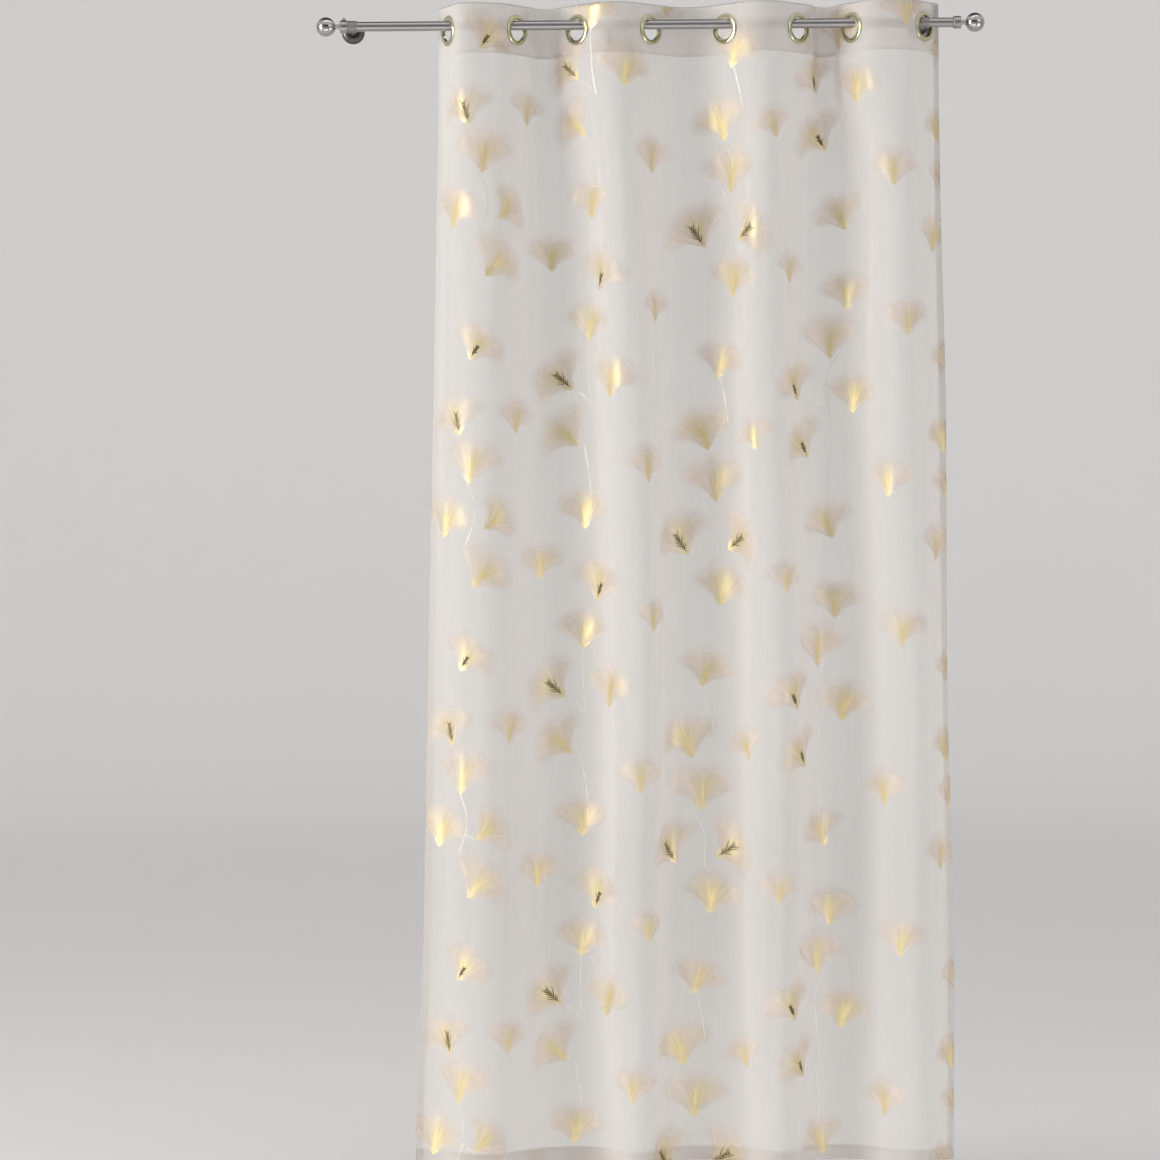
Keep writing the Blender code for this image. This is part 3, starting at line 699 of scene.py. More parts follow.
def hung(across, down, lift=0.0):
    """A point of the hung cloth, creases included, lifted towards the room by lift."""
    across = np.clip(across, 0, CLOTH_WIDTH)
    step = 0.002  # to the neighbours that give the cloth's slope
    to_right = on_folds(np.minimum(across + step, CLOTH_WIDTH), down)
    to_left = on_folds(np.maximum(across - step, 0), down)
    below = on_folds(across, down + step)
    above = on_folds(across, down - step)
    to_room = unit(np.cross(to_right - to_left, above - below))
    rise = crease_rise(across, down) + lift
    return on_folds(across, down) + to_room * rise[..., None]


def turned_in(places, start, end, hem):
    """Folds flat places past start and end back over hems of that width, turned twice.

    Gives the folded place and the number of the layer: 0 in front, 1 and 2 behind it.
    """
    over = np.maximum(start - places, places - end)
    layer = np.clip(np.ceil(over / hem), 0, 2)
    inside = np.where(layer == 1, over, 2 * hem - over)
    folded = np.where(places < start, start + inside, end - inside)
    return np.where(layer == 0, places, folded), layer


def cloth(across, down, lift=0.0):
    """A point of the hung cloth, from its place on the cut cloth before it was hemmed.

    across is past 0 or the width in the side hems, down past the hem line in the bottom hem, and
    above the top edge on the heading's back. Each turned layer lies behind the last, and lift is
    the height above the printed side.
    """
    across, side_layer = turned_in(across, 0, CLOTH_WIDTH, SIDE_HEM)
    down, hem_layer = turned_in(down, -math.inf, HEM_LINE, BOTTOM_HEM)
    behind = down < -EYELET_FROM_TOP
    down = np.where(behind, -2 * EYELET_FROM_TOP - down, down)
    in_heading = down < SEAM_LINE + 1e-6
    panel_back = LAYER * (side_layer + 3 * hem_layer)
    heading_back = np.where(behind, 3 * LAYER - LAYER * side_layer, LAYER * side_layer - 2 * LAYER)
    turns = side_layer + hem_layer + behind
    to_print = np.where(turns % 2 == 0, lift, -lift)
    return hung(across, down, to_print - np.where(in_heading, heading_back, panel_back))


def hem_places(start, end, hem, step):
    """Flat places from the raw edge at one side to the other, closest together at the turns."""
    inner = np.linspace(start, end, int(round((end - start) / step)) + 1)[1:-1]
    quarters = [hem / 4, hem / 2, 3 * hem / 4]
    side = [TURN, *quarters, hem - TURN, hem, hem + TURN, 1.5 * hem, 2 * hem]
    before = [start - place for place in reversed(side)]
    after = [end + place for place in side]
    return np.concatenate((before, [start, start + TURN], inner, [end - TURN, end], after))


# Polyester yarn is matt and scatters light, and the gaps between its threads show what is behind.
THREAD_SHARE = 0.34  # of the cloth's face that each set of threads covers
UNEVEN = 0.035  # how far that share strays where the threads run thicker or thinner
WARP_SLUB = (0.0028, 1 / 5)  # width and length of a stripe; single threads are too fine to show
WEFT_SLUB = (1 / 9, 0.0022)

voile, tree = new_material("sheer_polyester_voile")
flat_place = add_node(tree, "UVMap", uv_map="flat")
covers = []
for across, down in (WARP_SLUB, WEFT_SLUB):
    stripes = {"Vector": flat_place, "Scale": (1 / across, 1 / down, 1)}
    stretched = add_node(tree, "Mapping", stripes)
    slubs = add_node(tree, "TexNoise", {"Vector": stretched, "Scale": 1.0, "Detail": 2.0})
    share = {"Value": slubs, "To Min": THREAD_SHARE - UNEVEN, "To Max": THREAD_SHARE + UNEVEN}
    covers.append(add_node(tree, "MapRange", share))

# Seen at a slant the upright threads close up, so a fold's flanks look denser than its face.
facing = add_node(tree, "LayerWeight", {"Blend": 0.5}).outputs["Facing"]
slant = add_node(tree, "Math", {0: 1.03, 1: facing}, operation="SUBTRACT")
warp_cover = add_node(tree, "Math", {0: covers[0], 1: slant}, operation="DIVIDE", use_clamp=True)
yarn = add_node(
    tree,
    "BsdfPrincipled",
    {
        "Base Color": "#E1DDD9",
        "Roughness": 0.8,
        "Specular IOR Level": 0.3,
        "Sheen Weight": 0.15,
        "Sheen Roughness": 0.5,
    },
)
glow = add_node(tree, "BsdfTranslucent", {"Color": "#E3DFDB"})
lit = add_node(tree, "MixShader", {0: 0.32, 1: yarn, 2: glow})
gaps = add_node(tree, "BsdfTransparent")
warp = add_node(tree, "MixShader", {0: warp_cover, 1: gaps, 2: lit})
sheer = add_node(tree, "MixShader", {0: covers[1], 1: warp, 2: lit})
add_node(tree, "OutputMaterial", {"Surface": sheer})

TUCK = 0.004  # the panel's top runs up behind the heading's front this far
TUCK_BACK = 0.0005  # and lies this far behind it
COLUMN_STEP = 0.004
ROW_STEP = 0.0115
panel_across = hem_places(0, CLOTH_WIDTH, SIDE_HEM, COLUMN_STEP)
panel_down = hem_places(SEAM_LINE, HEM_LINE, BOTTOM_HEM, ROW_STEP)
panel_down = np.concatenate(([SEAM_LINE - TUCK], panel_down[panel_down >= SEAM_LINE]))
flat_across, flat_down = np.meshgrid(panel_across, panel_down)
panel_points = cloth(flat_across, np.maximum(flat_down, SEAM_LINE + 1e-5))
panel_points[0] = cloth(panel_across, np.full(panel_across.shape, SEAM_LINE - TUCK), -TUCK_BACK)
panel_flat = np.stack((flat_across, -flat_down), axis=-1)
panel = add_surface("voile_panel", voile, [panel_points[::-1]], uvs=[panel_flat[::-1]])
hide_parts("curtain_panel")
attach(panel, "root")


# --- Heading ----------------------------------------------------------------------------------
# The top of the cloth is turned over to the back and stitched down along its lower edge. Eight
# round holes are punched through both layers for the eyelets.

HOLE_RADIUS = 0.0236
PATCH_HALF_WIDTH = 0.0325
HEADING_STEPS = 24  # up each layer
STRIP_STEPS = (30, 5)  # across a strip between two holes, and outside the outer holes
PATCH_STEPS = 16  # across the square round a hole
HOLE_RINGS = 7
EYELET_LEVELS = (0, -2 * EYELET_FROM_TOP)  # the holes of the front and of the back, laid flat
CUT_TOP = -2 * EYELET_FROM_TOP - SEAM_LINE

front_down = np.linspace(SEAM_LINE, -EYELET_FROM_TOP, HEADING_STEPS + 1)
back_down = np.linspace(-EYELET_FROM_TOP, CUT_TOP, HEADING_STEPS + 1)
strip_down = np.concatenate((front_down, back_down[1:]))
heading_flat = []

edges = [0]
for middle in eyelet_across:
    edges += [middle - PATCH_HALF_WIDTH, middle + PATCH_HALF_WIDTH]
edges.append(CLOTH_WIDTH)
for start, end in zip(edges[::2], edges[1::2]):
    steps = STRIP_STEPS[0] if start > 0 and end < CLOTH_WIDTH else STRIP_STEPS[1]
    strip = np.linspace(start, end, steps + 1)
    if start == 0:
        strip = np.concatenate((panel_across[panel_across < 0], [0, TURN], strip[1:]))
    if end == CLOTH_WIDTH:
        hem = panel_across[panel_across > CLOTH_WIDTH]
        strip = np.concatenate((strip[:-1], [CLOTH_WIDTH - TURN, CLOTH_WIDTH], hem))
    heading_flat.append(np.stack(np.meshgrid(strip, strip_down), axis=-1))

# Round each hole a patch runs from the circle of the hole out to a square, ring by ring.
share = np.linspace(0, 1, HOLE_RINGS + 1)[:, None, None] ** 1.3
for middle in eyelet_across:
    for level, rows in zip(EYELET_LEVELS, (front_down, back_down)):
        columns = np.linspace(middle - PATCH_HALF_WIDTH, middle + PATCH_HALF_WIDTH, PATCH_STEPS + 1)
        square = [(place, rows[0]) for place in columns[:-1]]
        square += [(columns[-1], place) for place in rows[:-1]]
        square += [(place, rows[-1]) for place in columns[:0:-1]]
        square += [(columns[0], place) for place in rows[:0:-1]]
        square = np.array(square)
        circle = (middle, level) + HOLE_RADIUS * unit(square - (middle, level))
        rings = circle * (1 - share) + square * share
        heading_flat.append(np.concatenate((rings, rings[:, :1]), axis=1)[:, ::-1])
heading_points = [cloth(flat[..., 0], flat[..., 1]) for flat in heading_flat]
heading_uv = [flat * (1, -1) for flat in heading_flat]
heading = add_surface("stitched_heading", voile, heading_points, uvs=heading_uv)
join_seams(heading, 1e-6)
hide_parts("heading_band")
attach(heading, "root")


# --- Eyelets ----------------------------------------------------------------------------------
# Each eyelet is a pair of pressed metal rings, pale gold plated, that snap together through the
# heading. The pole runs through them, and the curtain slides along it on their smooth bores.

EYELET_INNER = 0.0220
EYELET_OUTER = 0.0315
CROWN_RADIUS = 0.0258  # to the top of the rounded front
CROWN_HEIGHT = 0.0040  # above the middle of the cloth
LIP_RADIUS = 0.0020  # where the front rolls into the bore
EYELET_EDGE = 0.0019
EYELET_UNDER = 0.0007  # the ring's underside, just clear of the cloth
RIM_CHAMFER = 0.0003
BARREL_WALL = 0.0012
BARREL_END = 0.0027  # behind the middle of the cloth
BARREL_CHAMFER = 0.0002
BACK_DEPTH = 0.0029
BACK_ROUND = 0.0012
BACK_BORE = 0.0002  # wider than the barrel
BACK_BEVEL = 0.0006
BACK_FACE = 0.0009  # the back ring's face towards the cloth
HANDLING_WIDTH = 0.011

# The plate is bright and a little green, with sharp white lights along the rims.
pale_gold = worn_metal("pale_gold_plate", HANDLING_WIDTH, ("#CAC6A4", "#CECCAC"), (0.06, 0.12))


barrel_radius = EYELET_INNER + BARREL_WALL
crown_size = (CROWN_HEIGHT - EYELET_EDGE, EYELET_OUTER - CROWN_RADIUS)
front_profile = [
    [(-BARREL_END, EYELET_INNER + BARREL_CHAMFER), (-BARREL_END, barrel_radius)],
    [(EYELET_UNDER, barrel_radius), (EYELET_UNDER, EYELET_OUTER - RIM_CHAMFER)],
    [(EYELET_UNDER + RIM_CHAMFER, EYELET_OUTER)],
    arc((EYELET_EDGE, CROWN_RADIUS), crown_size, 90, 0, 14),
    arc((CROWN_HEIGHT - LIP_RADIUS, EYELET_INNER + LIP_RADIUS), LIP_RADIUS, 0, -90, 10),
    [(BARREL_CHAMFER - BARREL_END, EYELET_INNER), (-BARREL_END, EYELET_INNER + BARREL_CHAMFER)],
]
back_bore = barrel_radius + BACK_BORE
back_profile = [
    [(-BACK_DEPTH, barrel_radius + BACK_ROUND)],
    arc((-BACK_DEPTH + BACK_ROUND, EYELET_OUTER - BACK_ROUND), BACK_ROUND, 180, 90, 8),
    [(-BACK_FACE, EYELET_OUTER), (-BACK_FACE, back_bore), (BACK_BEVEL - BACK_DEPTH, back_bore)],
    [(-BACK_DEPTH, barrel_radius + BACK_ROUND)],
]
for number, (across, degrees) in enumerate(zip(eyelet_across, EYELET_TURN), start=1):
    turn = math.radians(degrees)
    to_room = (math.sin(turn), -math.cos(turn), 0)
    middle = on_folds(np.array(across), np.array(0.0))
    for half, profile in (("front", front_profile), ("back", back_profile)):
        ring = turned(f"eyelet_ring_{half}_{number}", pale_gold, profile, middle, to_room)
        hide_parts(f"eyelet_{half}_{number}")
        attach(ring, "root")


# --- Leaf print -------------------------------------------------------------------------------
# Fan-shaped leaves on thin stems, printed on the flat cloth before it is sewn: a sheer beige
# pigment, with gold foil that is thickest at each leaf's foot. The layout is given in a chart.

PRINT_REPEAT = 0.64
REPEATS = range(-1, 5)  # enough to cover the cloth from the heading's back to the hem
PRINT_LIFT = 0.00015
RIM_REACH = 1.31  # the faint rim lies this far out, where the chart measures to the clear edge
LEAF_COLUMNS = 28
LEAF_ROWS = 17
CUT_BOTTOM = HEM_LINE + 2 * BOTTOM_HEM

# Each leaf's foot, in metres across from the left edge and down from the eyelets' middles, then
# its length in metres, its lean to the right in degrees, and its kind.
LEAF_CHART = (
    (0.103, 0.045, 0.075, 32, "split"),
    (0.087, 0.200, 0.077, -15, "feather"),
    (0.112, 0.301, 0.090, 5, "soft"),
    (0.045, 0.411, 0.080, 8, "bright"),
    (0.150, 0.393, 0.068, 58, "gold"),
    (0.128, 0.513, 0.082, 35, "gold"),
    (0.216, 0.197, 0.068, 3, "soft"),
    (0.355, 0.103, 0.080, -50, "feather"),
    (0.298, 0.498, 0.069, -3, "gold"),
    (0.370, 0.221, 0.078, -42, "gold"),
    (0.390, 0.394, 0.076, -3, "bright"),
    (0.390, 0.644, 0.076, 0, "bright"),
    (0.421, 0.543, 0.084, 22, "split"),
    (0.465, 0.124, 0.080, 6, "bright"),
    (0.563, 0.300, 0.072, 3, "soft"),
    (0.590, 0.608, 0.062, 0, "soft"),
    (0.707, 0.449, 0.085, -36, "feather"),
    (0.734, 0.232, 0.083, -10, "bright"),
    (0.756, 0.341, 0.090, -6, "gold"),
    (0.745, 0.084, 0.074, 12, "gold"),
    (0.773, 0.556, 0.080, 14, "bright"),
    (0.784, 0.438, 0.082, 58, "feather"),
    (0.862, 0.234, 0.064, -14, "soft"),
    (0.978, 0.130, 0.080, -30, "split"),
    (0.936, 0.530, 0.062, -4, "soft"),
    (1.014, 0.249, 0.080, -34, "split"),
    (1.054, 0.044, 0.087, -6, "soft"),
    (1.078, 0.417, 0.072, -25, "gold"),
    (1.088, 0.584, 0.074, 0, "gold"),
    (1.109, 0.158, 0.076, 4, "bright"),
    (1.215, 0.335, 0.074, 6, "soft"),
    (1.253, 0.644, 0.074, -4, "soft"),
    (1.350, 0.468, 0.070, 2, "gold"),
    (1.380, 0.242, 0.066, 0, "gold"),
    (1.389, 0.340, 0.060, 0, "gold"),
    (1.395, 0.082, 0.064, 0, "gold"),
)
# How each kind is printed: its share of gold, how broad its fan is, how deep the notch in its rim
# and how large the dark feather on it, or 0 for none.
LEAF_KINDS = {
    "soft": (0.30, 1.00, 0.03, 0),
    "gold": (0.60, 1.05, 0.03, 0),
    "bright": (0.95, 1.05, 0.02, 0),
    "split": (0.45, 1.15, 0.14, 0.60),
    "feather": (0.55, 1.15, 0.05, 1.0),
}
# The cloth was pulled askew when it was sewn, so the print drifts to the left on its way down.
# Each row gives, for one depth, how far it lies to the right of the chart at each place across.
DRIFT_ACROSS = (0.0, 0.15, 0.40, 0.70, 1.00, 1.25, 1.40)
DRIFT_ROWS = (
    (0.10, (0.010, 0.050, 0.072, 0.060, 0.082, 0.040, 0.020)),
    (0.40, (0.014, 0.015, 0.022, 0.032, 0.050, 0.032, 0.018)),
    (0.70, (0.000, 0.005, 0.008, 0.018, 0.033, 0.025, 0.015)),
    (1.10, (-0.005, -0.010, -0.002, -0.003, 0.010, 0.015, 0.012)),
    (1.60, (-0.010, -0.020, -0.003, -0.030, -0.012, -0.005, 0.012)),
    (2.20, (-0.008, -0.005, 0.000, -0.040, -0.015, -0.010, 0.016)),
)


def leaf_seed(number):
    """A number from 0 to 1 that sets a leaf's small differences, spread by the golden section."""
    return (number * 0.381966) % 1


def print_drift(across, down):
    """How far the print at a place lies to the right of the chart."""
    rows = [np.interp(across, DRIFT_ACROSS, values) for _, values in DRIFT_ROWS]
    return float(np.interp(down, [depth for depth, _ in DRIFT_ROWS], rows))


# The beige pigment lets some light through. Foil covers it in a wedge on the leaf's foot, and both
# thin out between the veins. The attribute leaf holds their shares of each place on the leaf. The
# patterns count in fans: a vein is an eighth as wide as half a fan, and a patch under half of it.
leaf_print, tree = new_material("beige_pigment_and_gold_foil")
fan_place = add_node(tree, "UVMap", uv_map="flat")
leaf = add_node(tree, "Attribute", attribute_name="leaf").outputs["Vector"]
shares = add_node(tree, "SeparateXYZ", {"Vector": leaf}).outputs
radial = add_node(tree, "Mapping", {"Vector": fan_place, "Scale": (8, 0.7, 1)})
veins = add_node(tree, "TexNoise", {"Vector": radial, "Scale": 1.0, "Detail": 3.0})
sectors = add_node(tree, "Mapping", {"Vector": fan_place, "Scale": (2.2, 0.6, 1)})
patches = add_node(tree, "TexNoise", {"Vector": sectors, "Scale": 1.0, "Detail": 1.0})
patch_share = add_node(tree, "MapRange", {"Value": patches, "From Min": 0.35, "From Max": 0.65})
vein_share = add_node(tree, "MapRange", {"Value": veins, "From Min": 0.30, "From Max": 0.70})
beige = add_node(tree, "MixRGB", {"Fac": patch_share, "Color1": "#EBD8CD", "Color2": "#D5C5BA"})
tinged = add_node(tree, "MixRGB", {"Fac": shares[2], "Color1": beige, "Color2": "#D2BF74"})
pigment = add_node(tree, "BsdfPrincipled", {"Base Color": tinged, "Roughness": 0.55})
backlit = add_node(tree, "BsdfTranslucent", {"Color": tinged})
ink = add_node(tree, "MixShader", {0: 0.45, 1: pigment, 2: backlit})
gold = add_node(tree, "MixRGB", {"Fac": vein_share, "Color1": "#D3C080", "Color2": "#F1E4B8"})
foil = add_node(tree, "BsdfPrincipled", {"Base Color": gold, "Metallic": 0.65, "Roughness": 0.42})
vein_ink = add_node(tree, "MapRange", {"Value": vein_share, "To Min": 0.44, "To Max": 0.51})
vein_foil = add_node(tree, "MapRange", {"Value": vein_share, "To Min": 0.70, "To Max": 0.92})
inked = add_node(tree, "Math", {0: shares[0], 1: vein_ink}, operation="MULTIPLY")
foiled = add_node(tree, "Math", {0: shares[1], 1: vein_foil}, operation="MULTIPLY", use_clamp=True)
unprinted = add_node(tree, "BsdfTransparent")
ink_layer = add_node(tree, "MixShader", {0: inked, 1: unprinted, 2: ink})
foil_layer = add_node(tree, "MixShader", {0: foiled, 1: ink_layer, 2: foil})
add_node(tree, "OutputMaterial", {"Surface": foil_layer})


def fan_outline(breadth, notch, seed):
    """A leaf one unit long, upright on its foot, as a grid of places across and along.

    Rays spread from the foot, narrow at first and then wide, up to a wavy rim with a notch. The
    rim draws in towards both sides, which rounds the leaf's shoulders.
    """
    across, along = np.meshgrid(
        np.linspace(-1, 1, LEAF_COLUMNS + 1), np.linspace(0.02, 1, LEAF_ROWS + 1)
    )
    lopsided = 1 + 0.12 * math.sin(9 * seed) * across
    spread = np.radians(33 + 37 * along**0.7) * breadth * lopsided
    waves = 0.018 * np.sin(7 * across + 6 * seed) + 0.010 * np.sin(15 * across + 11 * seed)
    rim = 1 - 0.10 * across**2 - 0.22 * across**6 + waves
    rim = rim - notch * np.exp(-(((across - 0.15) / 0.16) ** 2))
    reach = along * (1 + (rim - 1) * along)
    angle = across * spread
    return reach * np.sin(angle), reach * np.cos(angle), across, along


def rise(value, low, high):
    """A smooth step of value, from 0 at low to 1 at high."""
    t = np.clip((value - low) / (high - low), 0, 1)
    return t * t * (3 - 2 * t)


def print_shares(across, along, gold_share, seed):
    """The shares of pigment, of foil and of a golden tinge at each place of a leaf.

    The foil is a bell across the fan about a line that bends to one side, thick at the foot and
    gone near the rim, over a thin even coat. The tinge is a wider bell about the same line. The
    pigment fades at the rim, and is thicker where it is tinged.
    """
    pigment = rise(-along, -1.0, -0.61) * rise(-abs(across), -1.0, -0.66)
    off_line = across - 0.42 * np.sin(9 * seed) * along
    bell = np.exp(-((off_line / (0.30 + 0.16 * np.cos(5 * seed) ** 2)) ** 2))
    foot = rise(-along, -0.26, -0.10)
    fade = rise(-along, -0.80, -0.25)
    foil = np.maximum(bell, foot) * fade * (0.20 + 0.70 * gold_share) + 0.16 * gold_share * pigment
    tinge = np.exp(-((off_line / 0.36) ** 2)) * fade
    return np.stack((pigment * (1 + 0.4 * tinge), foil, tinge), axis=-1)


def leaf_repeats(across, down, side, up, lean):
    """Places on the cut cloth of one charted leaf's shape, for each repeat of the print.

    side and up are in metres from its foot, before the leaf leans. Past the cloth's raw edges
    the places are held on the edge.
    """
    slope = math.radians(lean)
    to_right = side * math.cos(slope) + up * math.sin(slope)
    to_foot = side * math.sin(slope) - up * math.cos(slope)
    for repeat in REPEATS:
        foot_down = down + repeat * PRINT_REPEAT
        here = across + print_drift(across, foot_down) + to_right
        here_down = foot_down + to_foot
        if here_down.max() > CUT_TOP and here_down.min() < CUT_BOTTOM:
            here = np.clip(here, -2 * SIDE_HEM, CLOTH_WIDTH + 2 * SIDE_HEM)
            yield here, np.clip(here_down, CUT_TOP, CUT_BOTTOM)


leaf_grids, leaf_uvs, leaf_shares = [], [], []
for number, (across, down, length, lean, kind) in enumerate(LEAF_CHART):
    gold_share, breadth, notch, _ = LEAF_KINDS[kind]
    side, up, fan_across, fan_along = fan_outline(breadth, notch, leaf_seed(number))
    printed = print_shares(fan_across, fan_along, gold_share, leaf_seed(number))
    reach = RIM_REACH * length
    for places in leaf_repeats(across, down, side * reach, up * reach, lean):
        leaf_grids.append(cloth(*places, PRINT_LIFT))
        leaf_uvs.append(np.stack((fan_across + 3 * number, fan_along), axis=-1))
        leaf_shares.append(printed.reshape(-1, 3))
leaves = add_surface("leaf_print", leaf_print, leaf_grids, uvs=leaf_uvs)
layer = leaves.data.attributes.new("leaf", "FLOAT_VECTOR", "POINT")
layer.data.foreach_set("vector", np.concatenate(leaf_shares).astype(np.float32).ravel())
leaves.visible_shadow = False  # ink lies within the threads, and shades nothing behind it
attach(leaves, "root")

# Some leaves carry a small dark feather of fine brush strokes, printed over the foil. The ink is
# matt and opaque, and thinner where the brush ran dry: nine patches to a leaf's length.
STROKE_LIFT = 0.00015
BARB_COUNT = 7  # on each side of the quill
BARB_STEPS = 4
QUILL_STEPS = 11
feather_ink, tree = new_material("dark_olive_pigment")
stroke_place = add_node(tree, "UVMap", uv_map="flat")
dry = add_node(tree, "TexNoise", {"Vector": stroke_place, "Scale": 9.0, "Detail": 2.0})
stroke = add_node(tree, "BsdfPrincipled", {"Base Color": "#47371B", "Roughness": 0.6})
dry_range = {"Value": dry, "From Min": 0.2, "From Max": 0.5, "To Min": 0.7, "To Max": 1.0}
dry_share = add_node(tree, "MapRange", dry_range)
between = add_node(tree, "BsdfTransparent")
brushed = add_node(tree, "MixShader", {0: dry_share, 1: between, 2: stroke})
add_node(tree, "OutputMaterial", {"Surface": brushed})


def feather(size, seed):
    """The strokes of a feather, each a grid of side and up for a leaf one unit long.

    Barbs leave the quill at an angle that closes towards the tip, and each tapers to a point.
    Their lengths follow a half sine along the quill, with a gap two thirds of the way up.
    """
    root = np.linspace(0.20, 0.20 + 0.38 * size, BARB_COUNT)[:, None, None]
    order = np.linspace(0, 1, BARB_COUNT)[:, None, None]
    hand = np.array((-1.0, 1.0))[None, :, None]
    uneven = 0.8 + 0.35 * np.sin(17 * order + 5 * hand + 23 * seed)
    gap = 1 - 0.8 * np.exp(-(((order - 0.62) / 0.10) ** 2))
    length = 0.29 * size * np.sin(np.pi * (0.14 + 0.70 * order)) * uneven * gap
    angle = hand * (0.95 - 0.40 * order + 0.15 * np.sin(29 * order + 3 * hand))
    out = np.linspace(0, 1, BARB_STEPS + 1)[None, None, :]
    bend = angle * (1 - 0.25 * out)
    middle = np.stack((length * out * np.sin(bend), root + length * out * np.cos(bend)), axis=-1)
    across_barb = np.stack((np.cos(bend), -np.sin(bend)), axis=-1)
    half_width = 0.018 * (1 - 0.75 * out)[..., None, None]
    barbs = middle[..., None, :] + across_barb[..., None, :] * half_width * ((-1,), (1,))
    quill_up = np.linspace(0.12, 0.22 + 0.38 * size, QUILL_STEPS + 1)
    quill_width = 0.009 * (1 - np.linspace(0.1, 0.9, QUILL_STEPS + 1))
    quill = np.stack((quill_width[:, None] * (-1, 1), np.stack((quill_up, quill_up), -1)), -1)
    return [quill, *barbs.reshape(-1, BARB_STEPS + 1, 2, 2)]


stroke_grids, stroke_uvs = [], []
for number, (across, down, length, lean, kind) in enumerate(LEAF_CHART):
    size = LEAF_KINDS[kind][-1]
    if not size:
        continue
    for strokes in feather(size, leaf_seed(number)):
        side, up = strokes[..., 0] * length, strokes[..., 1] * length
        for places in leaf_repeats(across, down, side, up, lean):
            stroke_grids.append(cloth(*places, PRINT_LIFT + STROKE_LIFT)[::-1])
            stroke_uvs.append(strokes[::-1] + number)
feathers = add_surface("feather_print", feather_ink, stroke_grids, uvs=stroke_uvs)
feathers.visible_shadow = False
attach(feathers, "root")

# Stems run under the leaves as thin gold lines, each through its charted places in turn. Their
# foil is pale, catches the light along its length, and is worn thin in places.
STEM_WIDTH = 0.0010
STEM_STEP = 0.004
STEM_LIFT = PRINT_LIFT + 0.00005
STEM_TOP = -0.15  # lines that start above this would lie past the raw edge
WEAR_PATCH = 1 / 60
STEM_CHART = (
    ((0.112, 0.298), (0.126, 0.336), (0.126, 0.375), (0.108, 0.425)),
    ((0.150, 0.393), (0.139, 0.387), (0.126, 0.380)),
    ((1.075, 0.030), (1.050, 0.080), (1.053, 0.140), (1.060, 0.205)),
    ((0.970, 0.122), (1.010, 0.127), (1.050, 0.142)),
    ((0.728, 0.225), (0.755, 0.280), (0.757, 0.330)),
    ((0.735, 0.330), (0.760, 0.380), (0.762, 0.460)),
    ((0.385, 0.220), (0.400, 0.300), (0.402, 0.370)),
    ((0.415, 0.640), (0.430, 0.672), (0.442, 0.710)),
    ((0.388, -0.030), (0.389, 0.030), (0.391, 0.090), (0.396, 0.137)),
    ((0.358, 0.103), (0.375, 0.113), (0.392, 0.130)),
    ((0.750, 0.070), (0.765, 0.130), (0.772, 0.175)),
    ((1.052, 0.225), (1.063, 0.300), (1.058, 0.380)),
)

foil_line, tree = new_material("gold_foil_line")
line_place = add_node(tree, "UVMap", uv_map="flat")
wear = add_node(tree, "TexNoise", {"Vector": line_place, "Scale": 1 / WEAR_PATCH, "Detail": 2.0})
tone = add_node(tree, "MixRGB", {"Fac": wear, "Color1": "#CEC9BB", "Color2": "#F3F0E6"})
metal = add_node(tree, "BsdfPrincipled", {"Base Color": tone, "Metallic": 0.8, "Roughness": 0.45})
worn = add_node(tree, "MapRange", {"Value": wear, "From Min": 0.2, "From Max": 0.5, "To Max": 0.95})
bare = add_node(tree, "BsdfTransparent")
line = add_node(tree, "MixShader", {0: worn, 1: bare, 2: metal})
add_node(tree, "OutputMaterial", {"Surface": line})


def through(places, step):
    """A smooth line through the places, at even steps, and its direction."""
    places = np.array(places)
    lengths = np.concatenate(([0], np.cumsum(np.linalg.norm(np.diff(places, axis=0), axis=1))))
    targets = np.linspace(0, lengths[-1], max(int(lengths[-1] / step), 8) + 1)
    slopes = np.gradient(places, lengths, axis=0)
    segment = np.clip(np.searchsorted(lengths, targets, side="right") - 1, 0, len(places) - 2)
    span = (lengths[segment + 1] - lengths[segment])[:, None]
    line = cubic((targets - lengths[segment])[:, None] / span, span, places, slopes, segment)
    return line, unit(np.gradient(line, axis=0))


stem_grids, stem_uvs = [], []
for places in STEM_CHART:
    line, direction = through(places, STEM_STEP)
    taper = 0.65 + 0.35 * np.sin(np.linspace(0.3, 2.6, len(line)))
    width = STEM_WIDTH * taper[:, None, None]
    sideways = np.stack((direction[:, 1], -direction[:, 0]), axis=-1)
    strip = line[:, None] + sideways[:, None] * np.array((-0.5, 0.5))[None, :, None] * width
    for repeat in REPEATS:
        middle_down = line[:, 1].mean() + repeat * PRINT_REPEAT
        drift = print_drift(line[:, 0].mean(), middle_down)
        here = strip + (drift, repeat * PRINT_REPEAT)
        if here[..., 1].min() >= STEM_TOP and here[..., 1].max() <= HEM_LINE + BOTTOM_HEM:
            stem_grids.append(cloth(here[..., 0], here[..., 1], STEM_LIFT)[::-1])
            stem_uvs.append(here[::-1] * (1, -1))
stems = add_surface("stem_print", foil_line, stem_grids, uvs=stem_uvs)
stems.visible_shadow = False
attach(stems, "root")


# --- Stitching --------------------------------------------------------------------------------
# White polyester thread, lockstitched with a machine along the heading, both side hems and the
# bottom hem. Each stitch is a short raised length of thread.

STITCH_PITCH = 0.0032
STITCH_LENGTH = 0.0025
THREAD_RADIUS = 0.00016
THREAD_LIFT = 0.7  # of its radius, from the cloth to the thread's middle
STITCH_FROM_EDGE = 0.0020  # inside the fold that the stitches hold down
SEAM_END = 0.001  # from a seam's end to the cloth's edge
PLY_LENGTH = 1 / 900
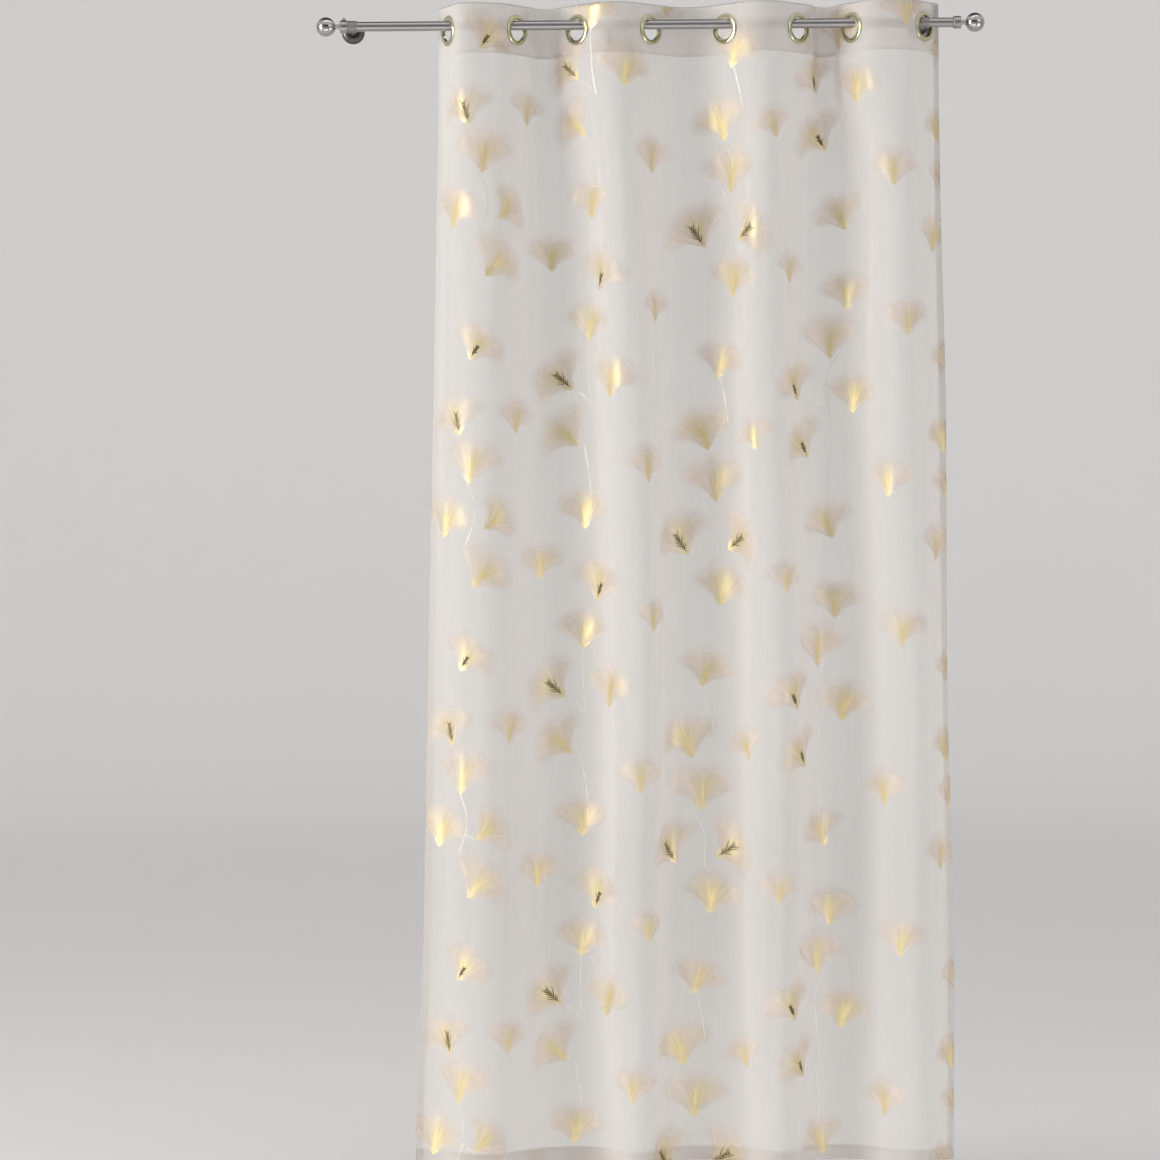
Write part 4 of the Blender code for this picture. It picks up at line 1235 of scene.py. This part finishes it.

# A fine noise paints the light and shade of twisted plies into the thread's tone, which is
# whiter than the voile.
thread, tree = new_material("white_polyester_thread")
place = add_node(tree, "TexCoord").outputs["Object"]
ply_shade = add_node(tree, "TexNoise", {"Vector": place, "Scale": 1 / PLY_LENGTH, "Detail": 2.0})
tone = add_node(tree, "MixRGB", {"Fac": ply_shade, "Color1": "#D9D5D0", "Color2": "#F2EFEB"})
polyester = add_node(tree, "BsdfPrincipled", {"Base Color": tone, "Roughness": 0.5})
add_node(tree, "OutputMaterial", {"Surface": polyester})

seam_down = SEAM_LINE - STITCH_FROM_EDGE
hem_down = HEM_LINE - BOTTOM_HEM + STITCH_FROM_EDGE
left_hem = SIDE_HEM - STITCH_FROM_EDGE
right_hem = CLOTH_WIDTH - left_hem
seams = (
    ((SEAM_END, seam_down), (CLOTH_WIDTH - SEAM_END, seam_down)),
    ((SEAM_END, hem_down), (CLOTH_WIDTH - SEAM_END, hem_down)),
    ((left_hem, SEAM_LINE + 2 * SEAM_END), (left_hem, HEM_LINE - SEAM_END)),
    ((right_hem, SEAM_LINE + 2 * SEAM_END), (right_hem, HEM_LINE - SEAM_END)),
)
thickness = np.array((0, 0.8, 1, 0.8, 0))[None, :, None]  # along a stitch
lengthwise = np.array((-0.5, -0.42, 0, 0.42, 0.5))[None, :, None] * STITCH_LENGTH
around = np.radians((45, 135, 225, 315))[None, None, :]
stitch_grids = []
for start, end in np.array(seams):
    count = int(np.linalg.norm(end - start) / STITCH_PITCH)
    middles = start + (end - start) * (np.arange(count)[:, None] + 0.5) / count
    direction = unit(end - start)
    sideways = THREAD_RADIUS * thickness * np.cos(around)
    across = middles[:, 0, None, None] + direction[0] * lengthwise + direction[1] * sideways
    down = middles[:, 1, None, None] + direction[1] * lengthwise - direction[0] * sideways
    lift = THREAD_RADIUS * (THREAD_LIFT + thickness * np.sin(around))
    stitch_grids += list(cloth(across, down, np.broadcast_to(lift, across.shape)))
stitches = add_surface("hem_stitches", thread, stitch_grids, wrap=True)
join_seams(stitches)
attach(stitches, "root")
